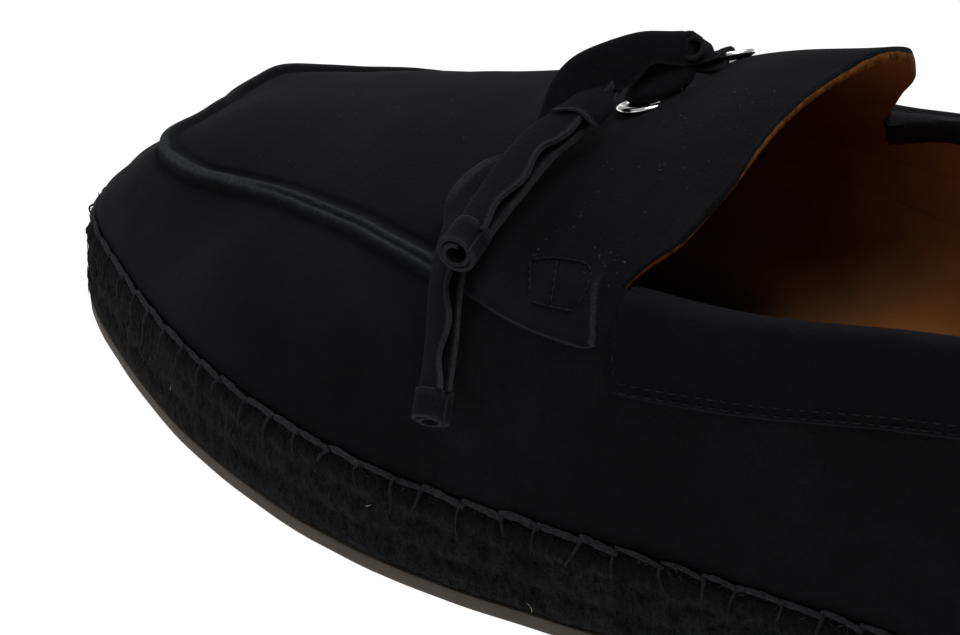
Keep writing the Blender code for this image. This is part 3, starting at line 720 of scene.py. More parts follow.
def hood_rings(path, along, side, up, width):
    """Turn of the knot over a strip: rings of a sleeve that ends in a slanted raw edge."""
    angle = np.arange(HOOD_SIDES) * 2.0 * math.pi / HOOD_SIDES
    c, s = np.cos(angle)[:, None], np.sin(angle)[:, None]
    tall = np.where(s > 0.0, 2.3, 1.4)
    share = np.linspace(0.0, 1.0, len(path))
    rings = []
    for k, t in enumerate(share):
        swell = 0.55 + 0.45 * ease(0.0, 0.5, t)
        half = (width[k] / 2.0 + 1.0) * swell + 0.2 * np.sin(3.0 * angle[:, None] + 5.0 * t)
        slant = -1.2 * c * t * t + 0.3 * np.sin(4.0 * angle[:, None]) * t
        rings.append(path[k] + side[k] * (half * c + 0.6) + up[k] * tall * swell * s + along[k] * slant)
    end = rings[-1]
    middle = end.mean(axis=0)
    inside = middle + (end - middle) * 0.8
    deep = middle + (rings[-4] - rings[-4].mean(axis=0)) * 0.7 - along[-1] * 2.0
    raw = np.zeros((len(rings) + 2, HOOD_SIDES))
    raw[-3:-1] = 1.0
    return np.concatenate(rings + [inside, deep]), raw.ravel()


def roll(base, along, radius, length, turns, number):
    """Sheet of suede rolled up round an axis: points, faces and raw values."""
    across = unit(np.cross(along, ROLL_ASIDE))
    out = np.cross(across, along)
    angle = np.linspace(0.0, turns * 2.0 * math.pi, 110)
    reach = radius - ROLL_PITCH * angle / (2.0 * math.pi) - 0.25 * ease(0.5, 0.0, angle)
    low = length + 0.25 * np.sin(angle * 0.7 + number)
    top = -0.1 + 0.2 * np.sin(angle * 0.9 + 1.3 * number)
    points = []
    raw = []
    for k, a in enumerate(angle + ROLL_START):
        spoke = across * math.cos(a) + out * math.sin(a)
        for outer, share, edge_raw in ROLL_SECTION:
            height = top[k] + (low[k] - top[k]) * share
            points.append(base + along * height + spoke * (reach[k] - ROLL_SHEET * (1.0 - outer)))
            raw.append(edge_raw)
    return np.array(points), tube_faces(len(angle), len(ROLL_SECTION)), np.array(raw)


def make_end(number, rows, start, pale_from, hood=None):
    """One end of the tie, from under its eyelet through the ring to its cuff."""
    rows = np.concatenate([np.asarray(start, float), np.asarray(rows, float)])
    rows, spots = route(rows, STRIP_STEP)
    path, width = rows[:, :3], rows[:, 3]
    along, across, up = strip_frame(path, strip_face(path, rows[:, 4]))
    flip = 1.0 if across[len(across) // 2, 0] > 0.0 else -1.0
    points = []
    raw = []
    for k, s in enumerate(spots):
        shut = ease(0.0, STRIP_SHUT, s)
        thick = 1.7 + 1.0 * shut
        parted = math.sin(math.pi * (s - spots[-1]) / OPEN_REACH) ** 2
        profile, edges = fold_profile(width[k], thick, STRIP_SHEET, (0.1 + 0.95 * parted) * shut, 0.1 * shut,
                                      0.35 * parted * shut)
        points.append(path[k] + flip * across[k] * profile[:, :1] + up[k] * profile[:, 1:])
        raw.append(edges * (0.25 + 0.75 * ease(pale_from, pale_from + 6.0, s)))
    sides = len(raw[0])
    points = np.concatenate(points)
    raw = np.concatenate(raw)
    faces = tube_faces(len(path), sides)
    if hood:
        first, last_row = (int(np.argmin(np.linalg.norm(path - np.array(spot), axis=1))) for spot in hood)
        part = slice(first, last_row + 1)
        shell, shell_raw = hood_rings(path[part], along[part], flip * across[part], up[part], width[part])
        faces += (ring_faces(len(shell) // HOOD_SIDES, HOOD_SIDES) + len(points)).tolist()
        points = np.concatenate([points, shell])
        raw = np.concatenate([raw, shell_raw])
    else:
        near_tuft = np.exp(-(np.linalg.norm(path - np.array(TUFT), axis=1) / TUFT_REACH) ** 4)
        folded = raw.reshape(len(path), sides)
        folded[:, 5:14] = np.maximum(folded[:, 5:14], 0.75 * near_tuft[:, None])
        shell, shell_faces, shell_raw = roll(np.array(CURL_AT), unit(np.array(CURL_AXIS)), *CURL_SIZE, number)
        faces += [[index + len(points) for index in face] for face in shell_faces]
        points = np.concatenate([points, shell])
        raw = np.concatenate([folded.ravel(), shell_raw * CURL_RAW])
    strip = piece(f"tie_strip_{number}", points, faces, [TIE_SUEDE], raw=raw)
    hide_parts(f"tie_end_{number}")
    cuff = make_cuff(number, path[-1], unit(path[-1] - path[-3]))


def make_cuff(number, end, along):
    """Cuff of suede rolled up round the strip's end, with a hollow below."""
    *size, lean = CUFFS[number]
    along = unit(along + CUFF_OUT * lean)
    points, faces, raw = roll(end + along * (GAP - 0.5), along, *size, number)
    cuff = piece(f"tie_roll_{number}", points, faces, [TIE_SUEDE], raw=raw)
    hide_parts(f"tie_cuff_{number}")
    return cuff


def through_eyelet(side):
    """Rows of a strip's route up through its eyelet."""
    point, out = apron_frame(side, *EYELETS[side])
    depth = WALL + GAP + BAR_THICK / 2.0
    inward = np.array([0.0, -side * 2.6, 0.0])
    places = (point - out * depth + inward, point - out * 1.2, point + out * STEM_RISE[side])
    return [[*place, width, 0.0] for place, width in zip(places, STEM_WIDTHS[side])]


def make_bar():
    """The tie's bar under the apron, from one eyelet to the other."""
    ridge = ((EYELETS[-1][0] + EYELETS[1][0]) / 2.0, 0.995)
    share = np.linspace(0.0, 1.0, 12)
    depth = WALL + GAP + BAR_THICK / 2.0
    path = []
    outs = []
    for side, steps in ((-1, share), (1, share[::-1])):
        q, v = (low + (high - low) * steps for low, high in zip(EYELETS[side], ridge))
        point, out = apron_frame(side, q, v)
        path += list(point - out * depth)
        outs += list(out)
    path = np.array(path)
    across, up = strip_frame(path, np.array(outs))[1:]
    angle = np.arange(16) * math.pi / 8.0
    half = np.sign(np.cos(angle)) * np.abs(np.cos(angle)) ** 0.6 * BAR_WIDTH / 2.0
    rise = np.sign(np.sin(angle)) * np.abs(np.sin(angle)) ** 0.6 * BAR_THICK / 2.0
    points = path[:, None] + across[:, None] * half[:, None] + up[:, None] * rise[:, None]
    bar = piece("tie_strap", points.reshape(-1, 3), tube_faces(len(path), len(angle)), [TIE_SUEDE])
    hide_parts("tie_bar")


def make_eyelet(name, side):
    """Polished ring with its barrel through the upper and a washer under it."""
    point, out = apron_frame(side, *EYELETS[side])
    point = point + out * EYELET_LIFT[side]
    out = unit(out + np.array(EYELET_LEAN[side]))
    across = unit(np.cross(out, [1.0, 0.0, 0.0]))
    along = np.cross(across, out)
    profile = [(EYELET_RING + EYELET_WIRE * math.cos(b), EYELET_FLAT * math.sin(b) + EYELET_WIRE + 0.1)
               for b in np.linspace(-0.35 * math.pi, 1.0 * math.pi, 14)]
    profile += [(EYELET_RING - EYELET_WIRE, -WALL - 0.2), (EYELET_RING - 0.5, -WALL - 0.6),
                (EYELET_RING + 0.6, -WALL - 0.3), (EYELET_BORE, -WALL - 0.1), (EYELET_BORE, 0.0)]
    around = 56
    points = []
    for a in np.arange(around) * 2.0 * math.pi / around:
        spoke = along * math.cos(a) + across * math.sin(a)
        points += [point + spoke * r + out * h for r, h in profile]
    total = len(points)
    faces = ring_faces(around + 1, len(profile)) % total
    ring = piece(name, points, faces.tolist(), [STEEL])
    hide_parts(f"eyelet_{'outer' if side < 0 else 'inner'}")


# The upper: sections are close together between its two fine places, by the tab's end
FRONT_FINE = 118.0
REAR_FINE = 127.3
FADE_REACH = 17.0

# The apron seam: rows beside it, its two lips, and where it ends and where its lips part
SEAM_REACH = 2.6
SEAM_STEP = 0.2
SEAM_END = (93.0, 101.0)
LIPS_PART = (34.0, 54.0)
LIP_AT = 0.6
LIP_WIDE = 0.33
LIP_HEIGHT = 1.4
RIDGE_WIDE = 1.15

# The tab behind the seam: its start, lower edge, slanted end with a round corner, and top
TAB_START = (95.0, 104.0)
TAB_LOW = -0.9
TAB_END = 124.0
TAB_SLANT = 0.62
TAB_UNDER = 0.9
TAB_ROUND = 1.8
TAB_TOP = (5.5, 8.0)
TAB_THICK = 0.9

# Ripples of the suede: depth, size and seed; the toe has its own, and a swell
RIPPLES = ((0.16, 9.0, 3.7), (0.3, 30.0, 9.1))
TOE_RIPPLE = (0.4, 6.0, 1.3)
TOE_SWELL = 0.7
TOE_REACH = (8.0, 40.0)
FOOT_REACH = 5.0

# The throat's cut edge: shares through the wall, and the place where it is squeezed thin
CUT_SHARES = (0.32, 0.5, 0.68, 0.86)
CUT_BULGE = 0.45
SQUEEZE_AT = -27.0
SQUEEZE_REACH = 4.5

# Soft dents and swells of the worn upper: part, side, place along, place up, reach along, reach up, depth
DENTS = (
    ("wall", -1, 60.0, 0.45, 9.0, 0.22, 0.5),
    ("wall", -1, 84.0, 0.55, 12.0, 0.25, -0.5),
    ("wall", -1, 38.0, 0.5, 7.0, 0.25, -0.4),
    ("apron", -1, 78.0, 0.35, 9.0, 0.14, -0.55),
    ("apron", -1, 60.0, 0.45, 8.0, 0.2, 0.45),
    ("apron", -1, 95.0, 0.4, 6.0, 0.2, -0.5),
    ("apron", -1, 103.0, 1.0, 6.0, 0.2, -1.7),
    ("apron", 1, 103.0, 1.0, 6.0, 0.2, -1.7),
    ("apron", 1, 70.0, 0.4, 10.0, 0.2, -0.5),
    ("wall", 1, 75.0, 0.5, 12.0, 0.25, -0.5),
)


def upper_rows(side, q, front):
    """Outer face of the sections at q: points, distance from the seam and share up the part."""
    foot, seam, top, collar = lines(side, q)
    wall_run = np.linalg.norm(seam - foot, axis=-1)
    above_run = np.linalg.norm((top if front else collar) - seam, axis=-1)
    above = apron_point if front else quarter_point
    reach = np.arange(-SEAM_REACH, SEAM_REACH + 0.01, SEAM_STEP)
    points, along, share = [], [], []

    def row(place, distance, part):
        points.append(place)
        along.append(distance)
        share.append(part)

    for k in np.linspace(0.0, 1.0, 25)[:-1]:
        w = k * (1.0 - SEAM_REACH / wall_run)
        row(wall_point(side, q, w), (w - 1.0) * wall_run, w - 1.0)
    for distance in reach:
        if distance <= 0.0:
            w = 1.0 + distance / wall_run
            row(wall_point(side, q, w), np.full_like(q, distance), w - 1.0)
        else:
            v = distance / above_run
            row(above(side, q, v), np.full_like(q, distance), v)
    corner = CORNER_V[side] if front else 1.0
    low = SEAM_REACH / above_run
    for k in np.linspace(0.0, 1.0, 9)[1:]:
        v = low + (corner - low) * k
        row(above(side, q, v), v * above_run, v)
    if front:
        for v in np.linspace(corner, 1.0, 37)[1:]:
            row(above(side, q, np.full_like(q, v)), v * above_run, np.full_like(q, v))
    return np.stack(points, 1), np.stack(along, 1), np.stack(share, 1)


def seam_lift(q, along):
    """Rise of the stitched seam and of the tab's edge, with the paleness of the raw edges."""
    seam = 1.0 - ease(*SEAM_END, q)
    ragged = along + 0.2 * wobble(np.stack([q, np.sign(along), 0.0 * q], axis=-1), 1.6, 4.1)
    ridge = np.exp(-(along / RIDGE_WIDE) ** 6)
    lips = np.exp(-((np.abs(ragged) - LIP_AT) / LIP_WIDE) ** 2)
    whole = np.exp(-(ragged / 0.75) ** 4)
    lips = lips + (whole - lips) * (1.0 - ease(*LIPS_PART, q))
    dip = np.exp(-((np.abs(along) - 1.9) / 0.5) ** 2)
    x = q - TAB_END + np.where(along > 0.0, TAB_SLANT, -TAB_UNDER) * along + TAB_ROUND
    y = TAB_LOW - along + TAB_ROUND
    corner = np.hypot(np.clip(x, 0.0, None), np.clip(y, 0.0, None))
    away = corner + np.clip(np.maximum(x, y), None, 0.0) - TAB_ROUND
    tab = ease(*TAB_START, q) * (1.0 - ease(*TAB_TOP, along))
    step = (1.0 - ease(-0.3, 0.25, away)) * np.exp(-(np.clip(-away - 0.5, 0.0, None) / 5.0) ** 2)
    lift = seam * (LIP_HEIGHT * (0.72 * ridge + 0.28 * lips) - 0.3 * dip) + TAB_THICK * step * tab
    raw = 0.9 * lips * seam + 0.8 * np.exp(-((away + 0.05) / 0.26) ** 2) * tab
    return lift, raw


def dent_lift(side, q, share):
    total = np.zeros_like(q)
    for part, where, at, up, reach, reach_up, depth in DENTS:
        if where == side:
            height = share + 1.0 if part == "wall" else share
            here = share <= 0.0 if part == "wall" else share >= 0.0
            total += here * depth * np.exp(-((q - at) / reach) ** 2 - ((height - up) / reach_up) ** 2)
    return total


def collar_columns(count):
    """Places along one side's collar from the throat's corner to the heel."""
    return CORNER_Q + (HEEL - CORNER_Q) * np.sin(np.linspace(0.0, math.pi / 2.0, count))


def upper_sheet(ahead, behind):
    """Outer face of both sides: points, lifts, raw values, and each side's grid of point numbers."""
    count = len(ahead) + len(behind)
    points, lifts, raws = [], [], []
    numbers = {}
    total = 0
    for side in (-1, 1):
        front, along, share = upper_rows(side, ahead, True)
        rear, along_rear, share_rear = upper_rows(side, behind, False)
        rows = rear.shape[1]
        meet = upper_rows(side, np.array([CORNER_Q]), False)[0][0]
        shift = front[-1, :rows] - meet
        fade = np.clip(1.0 - (behind - CORNER_Q) / FADE_REACH, 0.0, 1.0) ** 2
        rear = rear + shift[None] * fade[:, None, None]
        places = np.concatenate([np.broadcast_to(ahead[:, None], along.shape).ravel(),
                                 np.broadcast_to(behind[:, None], along_rear.shape).ravel()])
        rise, raw = seam_lift(places, np.concatenate([along.ravel(), along_rear.ravel()]))
        rise = rise + dent_lift(side, places, np.concatenate([share.ravel(), share_rear.ravel()]))
        grid = np.full((count, front.shape[1]), -1)
        front_size, rear_size = front[..., 0].size, rear[..., 0].size
        grid[:len(ahead)] = total + np.arange(front_size).reshape(front.shape[:2])
        grid[len(ahead):, :rows] = total + front_size + np.arange(rear_size).reshape(rear.shape[:2])
        points += [front.reshape(-1, 3), rear.reshape(-1, 3)]
        lifts.append(rise)
        raws.append(raw)
        total += front_size + rear_size
        numbers[side] = grid
    numbers[1][0] = numbers[-1][0]
    numbers[1][-1] = numbers[-1][-1]
    numbers[1][:len(ahead), -1] = numbers[-1][:len(ahead), -1]
    return np.concatenate(points), np.concatenate(lifts), np.concatenate(raws), numbers


def sheet_normals(points, faces, feet):
    """Outward directions of the sheet's points, level along its feet."""
    a, b, c, d = (points[faces[:, k]] for k in range(4))
    normal = np.zeros_like(points)
    for k in range(4):
        np.add.at(normal, faces[:, k], np.cross(c - a, d - b))
    normal += 1e-12
    normal = unit(normal)
    normal[feet, 2] = 0.0
    return unit(normal)


def make_upper():
    ahead = TOE + (CORNER_Q - TOE) * (1.0 - np.cos(np.linspace(0.0, math.pi / 2.0, 151)))
    ahead = np.concatenate([ahead[ahead < FRONT_FINE], np.linspace(FRONT_FINE, CORNER_Q, 49)])
    behind = collar_columns(71)[1:]
    behind = np.concatenate([np.linspace(CORNER_Q, REAR_FINE, 23)[1:], behind[behind > REAR_FINE + 0.1]])
    points, lifts, raws, numbers = upper_sheet(ahead, behind)
    faces = []
    for side in (-1, 1):
        quad = grid_faces(numbers[side])
        quad = quad[(quad >= 0).all(axis=1)]
        faces.append(quad if side < 0 else quad[:, ::-1])
    faces = np.concatenate(faces)
    normal = sheet_normals(points, faces, np.concatenate([numbers[side][:, 0] for side in (-1, 1)]))
    ripple = sum(depth * wobble(points, reach, seed) for depth, reach, seed in RIPPLES)
    depth, reach, seed = TOE_RIPPLE
    ripple += (1.0 - ease(*TOE_REACH, points[:, 0])) * (depth * wobble(points, reach, seed) + TOE_SWELL)
    height = ease(0.0, FOOT_REACH, points[:, 2] - ROPE_TOP - GAP)
    outer = points + normal * (lifts + ripple * height)[:, None]
    inner = points - normal * WALL
    faces = cut_holes(points, faces)
    size = len(points)
    skin = faces.tolist()
    lining = (faces[:, ::-1] + size).tolist()
    places = [outer, inner]
    raw = [raws, np.zeros(size)]
    body = skin + lining
    slots = [0] * len(skin) + [1] * len(lining)
    throat = np.concatenate([numbers[-1][len(ahead) - 1], numbers[1][len(ahead) - 1][::-1][1:]])
    keep = len(upper_rows(-1, np.array([HEEL]), False)[0][0]) - 1
    throat = throat[keep:len(throat) - keep]
    raws[throat] = np.maximum(raws[throat], 0.3)
    frayed = 0.08 * wobble(outer[throat], 1.8, 8.8) + 0.1 * wobble(outer[throat], 12.0, 2.9)
    squeeze = 0.5 * np.exp(-((outer[throat][:, 1] - SQUEEZE_AT) / SQUEEZE_REACH) ** 2)
    count_now = 2 * size
    previous = throat
    for k, share in enumerate(CUT_SHARES):
        deep = (1.0 - (1.0 - share) * (1.0 - squeeze) + frayed * (1.0 - squeeze))[:, None]
        push = CUT_BULGE * np.sin(deep * math.pi) * np.array([1.0, 0.0, 0.0])
        fresh = count_now + np.arange(len(throat))
        places.append(outer[throat] + (inner[throat] - outer[throat]) * deep + push)
        raw.append(np.zeros(len(throat)))
        body += [[previous[i], previous[i + 1], fresh[i + 1], fresh[i]] for i in range(len(throat) - 1)]
        slots += [0 if k < 1 else 2] * (len(throat) - 1)
        previous = fresh
        count_now += len(throat)
    inside = throat + size
    body += [[previous[i], previous[i + 1], inside[i + 1], inside[i]] for i in range(len(throat) - 1)]
    slots += [2] * (len(throat) - 1)
    for side in (-1, 1):
        foot = numbers[side][:, 0]
        top = numbers[side][len(ahead) - 1:, keep]
        for line in (foot, top):
            body += [[line[i], line[i + 1], line[i + 1] + size, line[i] + size] for i in range(len(line) - 1)]
            slots += [1] * (len(line) - 1)
    upper = piece("upper_skin", np.concatenate(places), body, [UPPER_SUEDE, LINING, CUT_EDGE], slots,
                  np.concatenate(raw))
    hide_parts("upper")


def cut_holes(points, faces):
    """Faces without those under the eyelets' rings."""
    middle = points[faces].mean(axis=1)
    keep = np.ones(len(faces), bool)
    for side in (-1, 1):
        point, out = apron_frame(side, *EYELETS[side])
        away = middle - point
        depth = away @ out
        flat = np.linalg.norm(away - depth[:, None] * out, axis=1)
        keep &= (flat > EYELET_BORE) | (np.abs(depth) > 2.0 * WALL)
    return faces[keep]


# The collar band, from its lower edge over the collar to the inside: depth below the collar and
# distance out from the upper's outer face
BAND_ROWS = ((12.1, 0.1), (12.3, 0.55), (12.1, 1.1), (11.6, 1.35), (10.4, 1.38), (9.0, 1.42), (7.0, 1.45),
             (4.5, 1.45), (2.0, 1.4), (0.7, 1.25), (-0.1, 0.7), (-0.3, -0.4), (-0.3, -1.6), (0.0, -2.5),
             (0.8, -3.0), (2.2, -3.1), (3.7, -3.1), (4.2, -2.9), (4.3, -2.1))
BAND_TOP_ROW = 11

# Shifts of the band at the throat's corners: side, axis, distance, and if only its inside moves
BAND_SHIFTS = (
    (1, 0, -2.5, False),
    (1, 2, 0.9, False),
    (1, 0, 6.0, True),
    (1, 1, -2.2, True),
    (-1, 1, 1.6, True),
    (-1, 2, 0.3, False),
)


def band_point(side, q, depth, out):
    """Place by the collar: depth below its line, and distance out from the upper's face."""
    q, depth, out = np.broadcast_arrays(*(np.asarray(x, float) for x in (q, depth, out)))
    slant = np.clip(1.0 - (q - CORNER_Q) / SLANT_REACH, 0.0, 1.0) * (BAND_SLANT if side < 0 else 0.0)
    angle = turn(np.minimum(q + slant * np.clip(depth, 0.0, None) / BAND_HEIGHT, HEEL))

    def at(shift):
        place = TOE + LENGTH * (1.0 - np.cos(np.clip(angle + shift, 0.0, math.pi))) / 2.0
        top = lines(side, place)[3]
        return rear_point(side, place, top[..., 2] - np.clip(depth, 0.0, None))

    place = at(0.0)
    along = at(0.004) - at(-0.004)
    level = unit(np.stack([-along[..., 1], along[..., 0]], axis=-1)) * side
    place[..., :2] += level * out[..., None]
    place[..., 2] += np.clip(-depth, 0.0, None)
    return place


def make_band():
    depth = np.array([row[0] for row in BAND_ROWS])
    out = np.array([row[1] for row in BAND_ROWS])
    columns = collar_columns(110)
    halves = {side: band_point(side, columns[:, None], depth[None], out[None]) for side in (-1, 1)}
    corner = np.clip(1.0 - (columns - CORNER_Q) / FADE_REACH, 0.0, 1.0)[:, None] ** 2
    turned = np.clip((np.arange(len(BAND_ROWS)) - BAND_TOP_ROW) / 3.0, 0.0, 1.0)[None]
    for side, axis, distance, inside_only in BAND_SHIFTS:
        halves[side][..., axis] += distance * corner * (turned if inside_only else 1.0)
    ring = np.concatenate([halves[-1], halves[1][-2::-1]])
    count, rows = ring.shape[:2]
    ripple = 0.12 * wobble(ring, 6.0, 5.3)
    ring[..., 2] += ripple
    ring[..., 1] += ripple * np.sign(ring[..., 1])
    raw = np.zeros((count, rows))
    raw[:, :3] = 0.8
    # The far half's inside rows take the lighter suede: painted light on the turned-in band
    inside = (np.arange(rows) > BAND_TOP_ROW)[None] & (np.arange(count - 1) >= len(columns))[:, None]
    inside = inside.astype(int).ravel().tolist() + [0, 0]
    band = piece("collar_binding", ring.reshape(-1, 3), tube_faces(count, rows), [BAND_SUEDE, BAND_INSIDE_PAINTED_LIGHT],
                 inside, raw.ravel())
    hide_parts("collar_band")


# Sewing: rows below the collar, the band's face under the thread, and the thread's thickness
SEW_ROWS = (11.3, 10.1)
SEW_OUT = 1.42
SEW_FRONT = CORNER_Q + 1.0
SEW_THICK = np.array([0.06, 0.10, 0.12, 0.12, 0.10, 0.06])
STITCH_LENGTH = 1.3
BAND_PITCH = 1.9
TAB_PITCH = 1.35

# Stitched box on the tab with one bar: rows of section and share up the apron
TAB_BARS = (
    ((107.0, 0.13), (109.3, 0.085), (111.5, 0.04)),
    ((111.2, 0.155), (113.3, 0.10), (115.0, 0.05)),
    ((107.0, 0.13), (111.2, 0.155), (115.5, 0.16), (118.4, 0.135), (119.4, 0.10), (119.5, 0.05)),
    ((111.5, 0.04), (115.5, 0.045), (119.5, 0.05)),
)


def stitch_rows(line, outs, length, pitch, sink):
    """Short stitches along a dense line, each a small arched strand."""
    run = run_along(line)
    starts = np.arange(0.4, run[-1] - length, pitch)
    share = np.linspace(0.0, 1.0, 6)
    spots = starts[:, None] + share[None] * length
    place = np.stack([np.interp(spots, run, line[:, k]) for k in range(3)], axis=-1)
    out = unit(np.stack([np.interp(spots, run, outs[:, k]) for k in range(3)], axis=-1))
    arch = np.sin(share * math.pi) ** 0.6
    return place + out * (sink * (arch - 1.0) + 0.1 * arch)[None, :, None], out


def make_sewing():
    """Two rows along the band's lower edge, one up its front and the stitched boxes on the tabs."""
    paths, outs = [], []

    def sew(line, out, pitch):
        place, up = stitch_rows(line, out, STITCH_LENGTH, pitch, 0.25)
        paths.append(place)
        outs.append(up)

    def sew_band(side, q, depth):
        line = band_point(side, q, depth, SEW_OUT)
        sew(line, unit(line - band_point(side, q, depth, 0.0)), BAND_PITCH)

    for side in (-1, 1):
        for depth in SEW_ROWS:
            sew_band(side, np.linspace(SEW_FRONT, HEEL - 0.01, 400), depth)
        sew_band(side, SEW_FRONT, np.linspace(1.0, 10.0, 40))
        for row in TAB_BARS:
            spots = np.linspace(0.0, 1.0, len(row))
            q, v = (smooth(spots, column, np.linspace(0.0, 1.0, 40)) for column in zip(*row))
            point, out = apron_frame(side, q, v)
            seam, top = lines(side, q)[1:3]
            lift = seam_lift(q, v * np.linalg.norm(top - seam, axis=-1))[0]
            sew(point + out * (lift + 0.12)[:, None], out, TAB_PITCH)
    sewn = strands("stitches", np.concatenate(paths), np.concatenate(outs), SEW_THICK[None], 6, [SEW_THREAD])


# The sole
def dense_outline():
    """Sole's edge as a dense ring with its outward direction and run."""
    angle = np.linspace(0.0, math.pi, 2400)
    q = TOE + LENGTH * (1.0 - np.cos(angle)) / 2.0
    outer = np.stack([q, edge(-1, q)], axis=-1)
    inner = np.stack([q, edge(1, q)], axis=-1)
    ring = np.concatenate([outer, inner[-2::-1]])
    along = np.gradient(ring, axis=0)
    along[0] = along[-1] = along[1] + along[-2]
    out = unit(np.stack([along[:, 1], -along[:, 0]], axis=-1))
    return ring, out, run_along(ring)


RING, RING_OUT, RING_RUN = dense_outline()


def rim(s, outward, height):
    """Place by the sole's edge at the run s, a distance outward and a height above the flat."""
    s, outward, height = np.broadcast_arrays(*(np.asarray(x, float) for x in (s, outward, height)))
    s = np.mod(s, RING_RUN[-1])
    plan = np.stack([np.interp(s, RING_RUN, RING[:, k]) for k in range(2)], axis=-1)
    out = unit(np.stack([np.interp(s, RING_RUN, RING_OUT[:, k]) for k in range(2)], axis=-1))
    high = height + spring(plan[..., 0])
    return np.concatenate([plan + out * outward[..., None], high[..., None]], axis=-1)


def rim_out(s):
    out = rim(s, 1.0, 0.0) - rim(s, 0.0, 0.0)
    out[..., 2] = 0.0
    return unit(out)


def layer(name, rows, count, mat, rough):
    """Layer of the sole through rows of outward distance and height, closed above and below."""
    s = np.arange(count) * RING_RUN[-1] / count
    rows = np.asarray(rows, float)
    place = rim(s[None], rows[:, :1], rows[:, 1:])
    out = rim_out(s)
    place = place + out[None] * rough(place)[..., None]
    faces = ring_faces(len(rows), count).tolist()
    for base in (0, (len(rows) - 1) * count):
        for i in range(count // 2):
            ring = [base + i, base + i + 1, base + count - i - 1, base + (count - i) % count]
            faces.append(list(dict.fromkeys(ring))[::1 if base else -1])
    return piece(name, place.reshape(-1, 3), faces, [mat])


# Sections of the sole's layers: distance out from the edge and height
RUBBER_ROWS = ((-1.0, 0.0), (-0.25, 0.06), (0.0, 0.35), (0.08, 1.0), (0.12, 1.7), (0.2, 2.2), (0.1, 2.5),
               (-0.5, 2.6))
ROPE_ROWS = ((-1.2, 2.72), (-0.2, 2.9), (0.25, 3.5), (0.45, 4.3), (0.5, 5.1), (0.4, 5.9), (0.2, 6.6),
             (0.02, 7.3), (0.15, 8.0), (0.4, 8.7), (0.5, 9.5), (0.45, 10.3), (0.25, 11.1), (0.02, 11.9),
             (0.15, 12.6), (0.35, 13.3), (0.35, 14.0), (0.2, 14.7), (-0.1, 15.4), (-0.4, 16.1), (-0.8, 16.7),
             (-1.4, 17.1), (-2.4, 17.3))

# The welt's stitch: distance from node to node, height, and radii of its thread and legs
STITCH_PITCH = 6.1
WELT_HIGH = 17.05
WELT_RADIUS = 0.45
LEG_HIGH = 17.1
LEG_RADIUS = 0.25
LEG_REACH = (1.8, 6.2)

# Hairs: how many, and between which heights
WELT_HAIRS = 1500
WELT_HAIR_HIGH = (15.6, 17.5)
ROPE_HAIRS = 2600
ROPE_HAIR_HIGH = (3.6, 14.0)
PALE_HAIRS = 34
HAIR_TAPER = 2.9
LINT_SPECKS = 110


def make_sole():
    rubber = layer("rubber_sole", RUBBER_ROWS, 640, RUBBER, lambda p: 0.1 * wobble(p, 7.0, 2.2))
    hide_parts("outsole")

    def fuzz(p):
        streaked = p * np.array([1.0, 1.0, 0.7])
        return 0.36 * wobble(streaked, 1.2, 4.4) + 0.3 * wobble(p, 3.2, 7.7)

    rope = layer("rope_wall", ROPE_ROWS, 960, ROPE, fuzz)
    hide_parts("rope_sole")


def make_welt():
    """Blanket stitch round the welt: a thick thread from node to node and a thin leg at each node."""
    total = RING_RUN[-1]
    count = int(round(total / STITCH_PITCH))
    nodes = (np.arange(count) + rng.uniform(-0.12, 0.12, count)) * total / count
    following = np.roll(nodes, -1)
    following[-1] += total
    share = np.linspace(0.0, 1.0, 12)
    s = nodes[:, None] + (following - nodes)[:, None] * (share[None] * 1.08 - 0.04)
    bow = np.sin(share * math.pi)[None] * rng.uniform(0.0, 0.45, count)[:, None]
    fall = (share[None] - 0.5) * rng.uniform(-0.9, 0.4, count)[:, None]
    paths = rim(s, -0.55 + 0.3 * (share[None] - 0.5), WELT_HIGH + bow + fall)
    thick = WELT_RADIUS * (0.8 + 0.2 * np.sin(share * math.pi) ** 0.5)[None]
    thick = thick * rng.uniform(0.8, 1.2, count)[:, None]
    thick = thick * (1.0 + rng.uniform(-0.22, 0.22, s.shape))
    welt = strands("welt_stitch", paths, rim_out(s), thick, 9, [WELT_THREAD])
    lean = rng.normal(0.0, 0.9, count)[:, None]
    reach = rng.uniform(*LEG_REACH, count)[:, None]
    share = np.linspace(0.0, 1.0, 9)[None]
    s = nodes[:, None] + lean * share + 0.3 * np.sin(share * 3.0 + lean * 9.0)
    outward = -0.3 + 1.0 * np.sin(np.clip(share * 1.3, 0.0, 0.5) * math.pi) ** 0.8
    paths = rim(s, outward, LEG_HIGH - reach * share)
    thick = LEG_RADIUS * (1.0 - 0.55 * share) * rng.uniform(0.8, 1.3, count)[:, None]
    legs = strands("welt_legs", paths, rim_out(s), thick, 6, [LEG_THREAD])


def make_welt_fuzz():
    """Short hairs on the welt's thread."""
    count = WELT_HAIRS
    share = np.linspace(-0.5, 0.5, 5)
    size = rng.uniform(0.5, 1.8, count)[:, None]
    slope = rng.normal(0.0, 0.7, count)[:, None]
    s = rng.uniform(0.0, RING_RUN[-1], count)[:, None] + np.cos(slope) * size * share
    height = rng.uniform(*WELT_HAIR_HIGH, count)[:, None] + np.sin(slope) * size * share
    arch = rng.uniform(-0.2, 0.25, count)[:, None] * (1.0 - 4.0 * share ** 2)
    outward = rng.uniform(-0.7, -0.1, count)[:, None] + arch
    thick = rng.uniform(0.03, 0.08, count)[:, None] * (1.0 - HAIR_TAPER * share[None] ** 2)
    fuzz = strands("welt_fuzz", rim(s, outward, height), rim_out(s), thick, 4, [WELT_THREAD])


